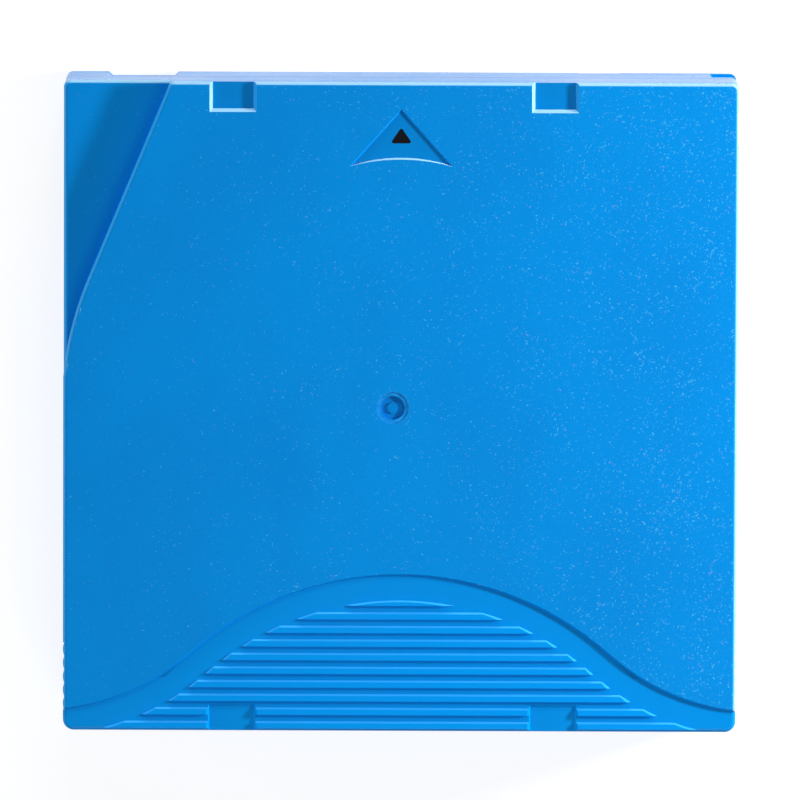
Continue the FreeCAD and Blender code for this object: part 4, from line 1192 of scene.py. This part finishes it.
@dataclass
class Screws:
    """Four thread-forming screws with a cross recess, driven up from below, in millimetres."""

    places: Corners = ((-36.0, 44.9), (45.4, 43.2), (38.6, -40.2), (-42.2, -41.4))
    head_r: float = 1.8
    head_h: float = 1.3
    edge_r: float = 0.35
    edge_steps: int = 4
    root_r: float = 0.78
    thread_r: float = 1.0
    pitch: float = 0.9
    rings_a_turn: int = 8
    flank_slope: float = 2.5
    root_width: float = 1.5
    runout_turns: float = 1.5
    tip_share: float = 0.5
    arm: float = 1.05
    arm_half_w: float = 0.24
    recess_depth: float = 0.85
    recess_floor: float = 0.45
    corner_steps: int = 5
    smooth_angle: float = 35.0
    finish: BrushedMetal = BrushedMetal("screw_steel", srgb(168, 170, 176), Facing.ALONG_Z, 0.3)

    def cross_r(self, angle: float) -> float:
        """Give how far the outline of the cross recess lies from its middle.

        Args:
            angle: Direction in which to measure.

        Returns:
            The distance.
        """
        first, second = abs(math.cos(angle)), abs(math.sin(angle))
        longer, shorter = max(first, second), min(first, second)
        if shorter <= longer * self.arm_half_w / self.arm:
            return self.arm / longer
        return self.arm_half_w / shorter

    def angles(self) -> list[float]:
        """List the angles of the corners of a ring.

        Returns:
            The angles, with the corners of the cross among them.
        """
        corner = math.atan(self.arm_half_w / self.arm)
        wide = math.pi / 4 - corner
        steps = self.corner_steps
        quarter = [0.0, corner]
        quarter += [corner + wide * step / steps for step in range(1, steps + 1)]
        far = math.pi / 2 - corner
        quarter += [far - wide * step / steps for step in range(steps - 1, -1, -1)]
        return [turn * math.pi / 2 + angle for turn in range(4) for angle in quarter]

    def thread(self, turn: float) -> float:
        """Give the radius of the thread.

        Args:
            turn: Turns that it has climbed.

        Returns:
            The radius.
        """
        wave = abs(2 * (turn % 1.0) - 1)
        share = max(0.0, self.flank_slope * wave - self.root_width)
        return self.root_r + (self.thread_r - self.root_r) * share

    def head(self, angles: Sequence[float]) -> list[Ring]:
        """List the rings of the head, from the floor of the recess to the start of the shank.

        Args:
            angles: Angles of the corners of a ring.

        Returns:
            The rings, each as the height and radius of its corners.
        """
        cross = [self.cross_r(angle) for angle in angles]
        rings = [[(self.recess_depth, self.recess_floor * out) for out in cross]]
        rings.append([(0.0, out) for out in cross])
        flat_r = self.head_r - self.edge_r
        round_rings = [(0.0, flat_r)]
        for step in range(1, self.edge_steps + 1):
            angle = math.pi / 2 * step / self.edge_steps
            height = self.edge_r * (1 - math.cos(angle))
            round_rings.append((height, flat_r + self.edge_r * math.sin(angle)))
        round_rings += [(self.head_h, self.head_r), (self.head_h, self.thread_r)]
        return rings + [[corner] * len(angles) for corner in round_rings]

    def shank(self, angles: Sequence[float], length: float) -> list[Ring]:
        """List the rings of the thread, which runs out towards the blunt tip.

        Args:
            angles: Angles of the corners of a ring.
            length: Length of the whole screw.

        Returns:
            The rings, each as the height and radius of its corners.
        """
        climb = self.pitch / self.rings_a_turn
        run = length - self.head_h
        rings = []
        for step in range(1, int(run / climb) + 1):
            rise = step * climb
            left = (run - rise) / (self.runout_turns * self.pitch)
            taper = min(1.0, left * (1 - self.tip_share) + self.tip_share)
            radii = [self.thread(rise / self.pitch - angle / math.tau) for angle in angles]
            rings.append([(self.head_h + rise, taper * out) for out in radii])
        return rings + [[(length, self.root_r * self.tip_share)] * len(angles)]

    def build(self) -> None:
        """Make the four screws."""
        low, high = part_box("shell_screws")
        length = (high.z - low.z) / MM
        angles = self.angles()
        count = len(angles)
        rings = self.head(angles) + self.shank(angles, length)
        points: list[Vector] = []
        faces: list[Sequence[int]] = []
        for x, y in self.places:
            first = len(points)
            for ring in rings:
                for angle, (height, out) in zip(angles, ring):
                    across, along = out * math.cos(angle), out * math.sin(angle)
                    points.append(Vector((x + across, y + along, low.z / MM + height)) * MM)
            faces += bridge(first, count, len(rings))
            faces += ends(first, first + count * (len(rings) - 1), count)
        piece = new_piece("cross_screws", "shell", points, faces)
        dress(piece, self.finish.material(), self.smooth_angle)
        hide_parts("shell_screws")
        report(piece.name, f"{len(self.places)} screws")


# ------------------------------------------------------------------ studio
@dataclass
class Lamp:
    """Rectangular soft lamp that points at the part."""

    name: str
    place: tuple[float, float, float]
    size: tuple[float, float]
    power: float

    def build(self, target: Vector) -> None:
        """Hang the lamp.

        Args:
            target: Point that it faces.
        """
        data = bpy.data.lights.new(self.name, "AREA")
        data.shape = "RECTANGLE"
        data.size, data.size_y = self.size
        data.energy = self.power
        lamp = bpy.data.objects.new(self.name, data)
        lamp.location = self.place
        lamp.rotation_mode = "QUATERNION"
        lamp.rotation_quaternion = (target - lamp.location).to_track_quat("-Z", "Y")
        bpy.context.scene.collection.objects.link(lamp)


@dataclass
class Studio:
    """Pale floor, soft lamps, pale surroundings and the camera."""

    camera_distance: float = 2.0
    camera_tilt: float = 5.9
    camera_roll: float = 0.22
    camera_lens: float = 576.0
    sensor_width: float = 36.0
    clip_near: float = 0.1
    clip_far: float = 50.0
    aim: tuple[float, float, float] = (-0.00005, 0.00125, 0.0215)
    ambient: float = 0.07
    floor_size: float = 8.0
    floor_drop: float = 0.05 * MM
    paper: Paper = Paper()

    def lamps(self) -> list[Lamp]:
        """List the lamps.

        Returns:
            Every lamp of the studio.
        """
        return [
            Lamp("right_lamp", (0.32, 0.07, 0.125), (0.08, 0.03), 1.45),
            Lamp("front_lamp", (0.1, 1.3, 0.66), (0.5, 0.16), 5.0),
            Lamp("low_front_lamp", (0.0, 0.7, 0.1), (0.9, 0.06), 2.3),
            Lamp("left_lamp", (-0.6, -0.05, 0.11), (0.5, 0.06), 1.3),
            Lamp("rear_lamp", (0.05, -0.42, 0.4), (0.3, 0.3), 0.95),
        ]

    def surroundings(self) -> None:
        """Set the world: white where it is seen, an even pale light where it lights."""
        world = bpy.data.worlds.new("studio")
        bpy.context.scene.world = world
        world.use_nodes = True
        tree = world.node_tree
        background = tree.nodes["Background"]
        strength = tree.nodes.new("ShaderNodeMapRange")
        strength.inputs["To Min"].default_value = self.ambient
        strength.inputs["To Max"].default_value = 1.0
        tree.links.new(background_rays(tree), strength.inputs["Value"])
        background.inputs["Color"].default_value = WHITE
        tree.links.new(strength.outputs["Result"], background.inputs["Strength"])

    def floor(self) -> None:
        """Lay the floor, which glows white where it is seen and keeps the shadow."""
        half = self.floor_size / 2
        mesh = bpy.data.meshes.new("floor")
        corners = [(-half, -half, 0.0), (half, -half, 0.0), (half, half, 0.0), (-half, half, 0.0)]
        mesh.from_pydata(corners, [], [(0, 1, 2, 3)])
        piece = bpy.data.objects.new("floor", mesh)
        piece.location.z = -self.floor_drop
        bpy.context.scene.collection.objects.link(piece)
        piece.data.materials.append(self.paper.material())

    def camera(self) -> None:
        """Set the camera above the part, leaning towards its front."""
        tilt = math.radians(self.camera_tilt)
        data = bpy.data.cameras.new("camera")
        data.lens = self.camera_lens
        data.sensor_width = self.sensor_width
        data.clip_start, data.clip_end = self.clip_near, self.clip_far
        camera = bpy.data.objects.new("camera", data)
        bpy.context.scene.collection.objects.link(camera)
        away = Vector((0.0, math.sin(tilt), math.cos(tilt))) * self.camera_distance
        roll = Matrix.Rotation(math.radians(self.camera_roll), 4, "Z")
        turn = Matrix.Rotation(-tilt, 4, "X") @ roll
        camera.matrix_world = Matrix.Translation(Vector(self.aim) + away) @ turn
        bpy.context.scene.camera = camera

    def build(self) -> None:
        """Set up the studio."""
        bpy.context.scene.view_settings.view_transform = "Standard"
        self.surroundings()
        self.floor()
        for lamp in self.lamps():
            lamp.build(Vector(self.aim))
            report(lamp.name, f"{lamp.power} W")
        self.camera()


def main() -> None:
    """Build the studio and dress every sub-assembly."""
    logging.basicConfig(level=logging.INFO, format="%(name)s %(message)s")
    Studio().build()
    assemblies = (
        Shell(), InsertionMark(), Reel(), Brake(), Door(), Leader(), WriteProtect(), MemoryTag(),
        Screws(),
    )
    for assembly in assemblies:
        assembly.build()


if __name__ == "__main__":
    main()
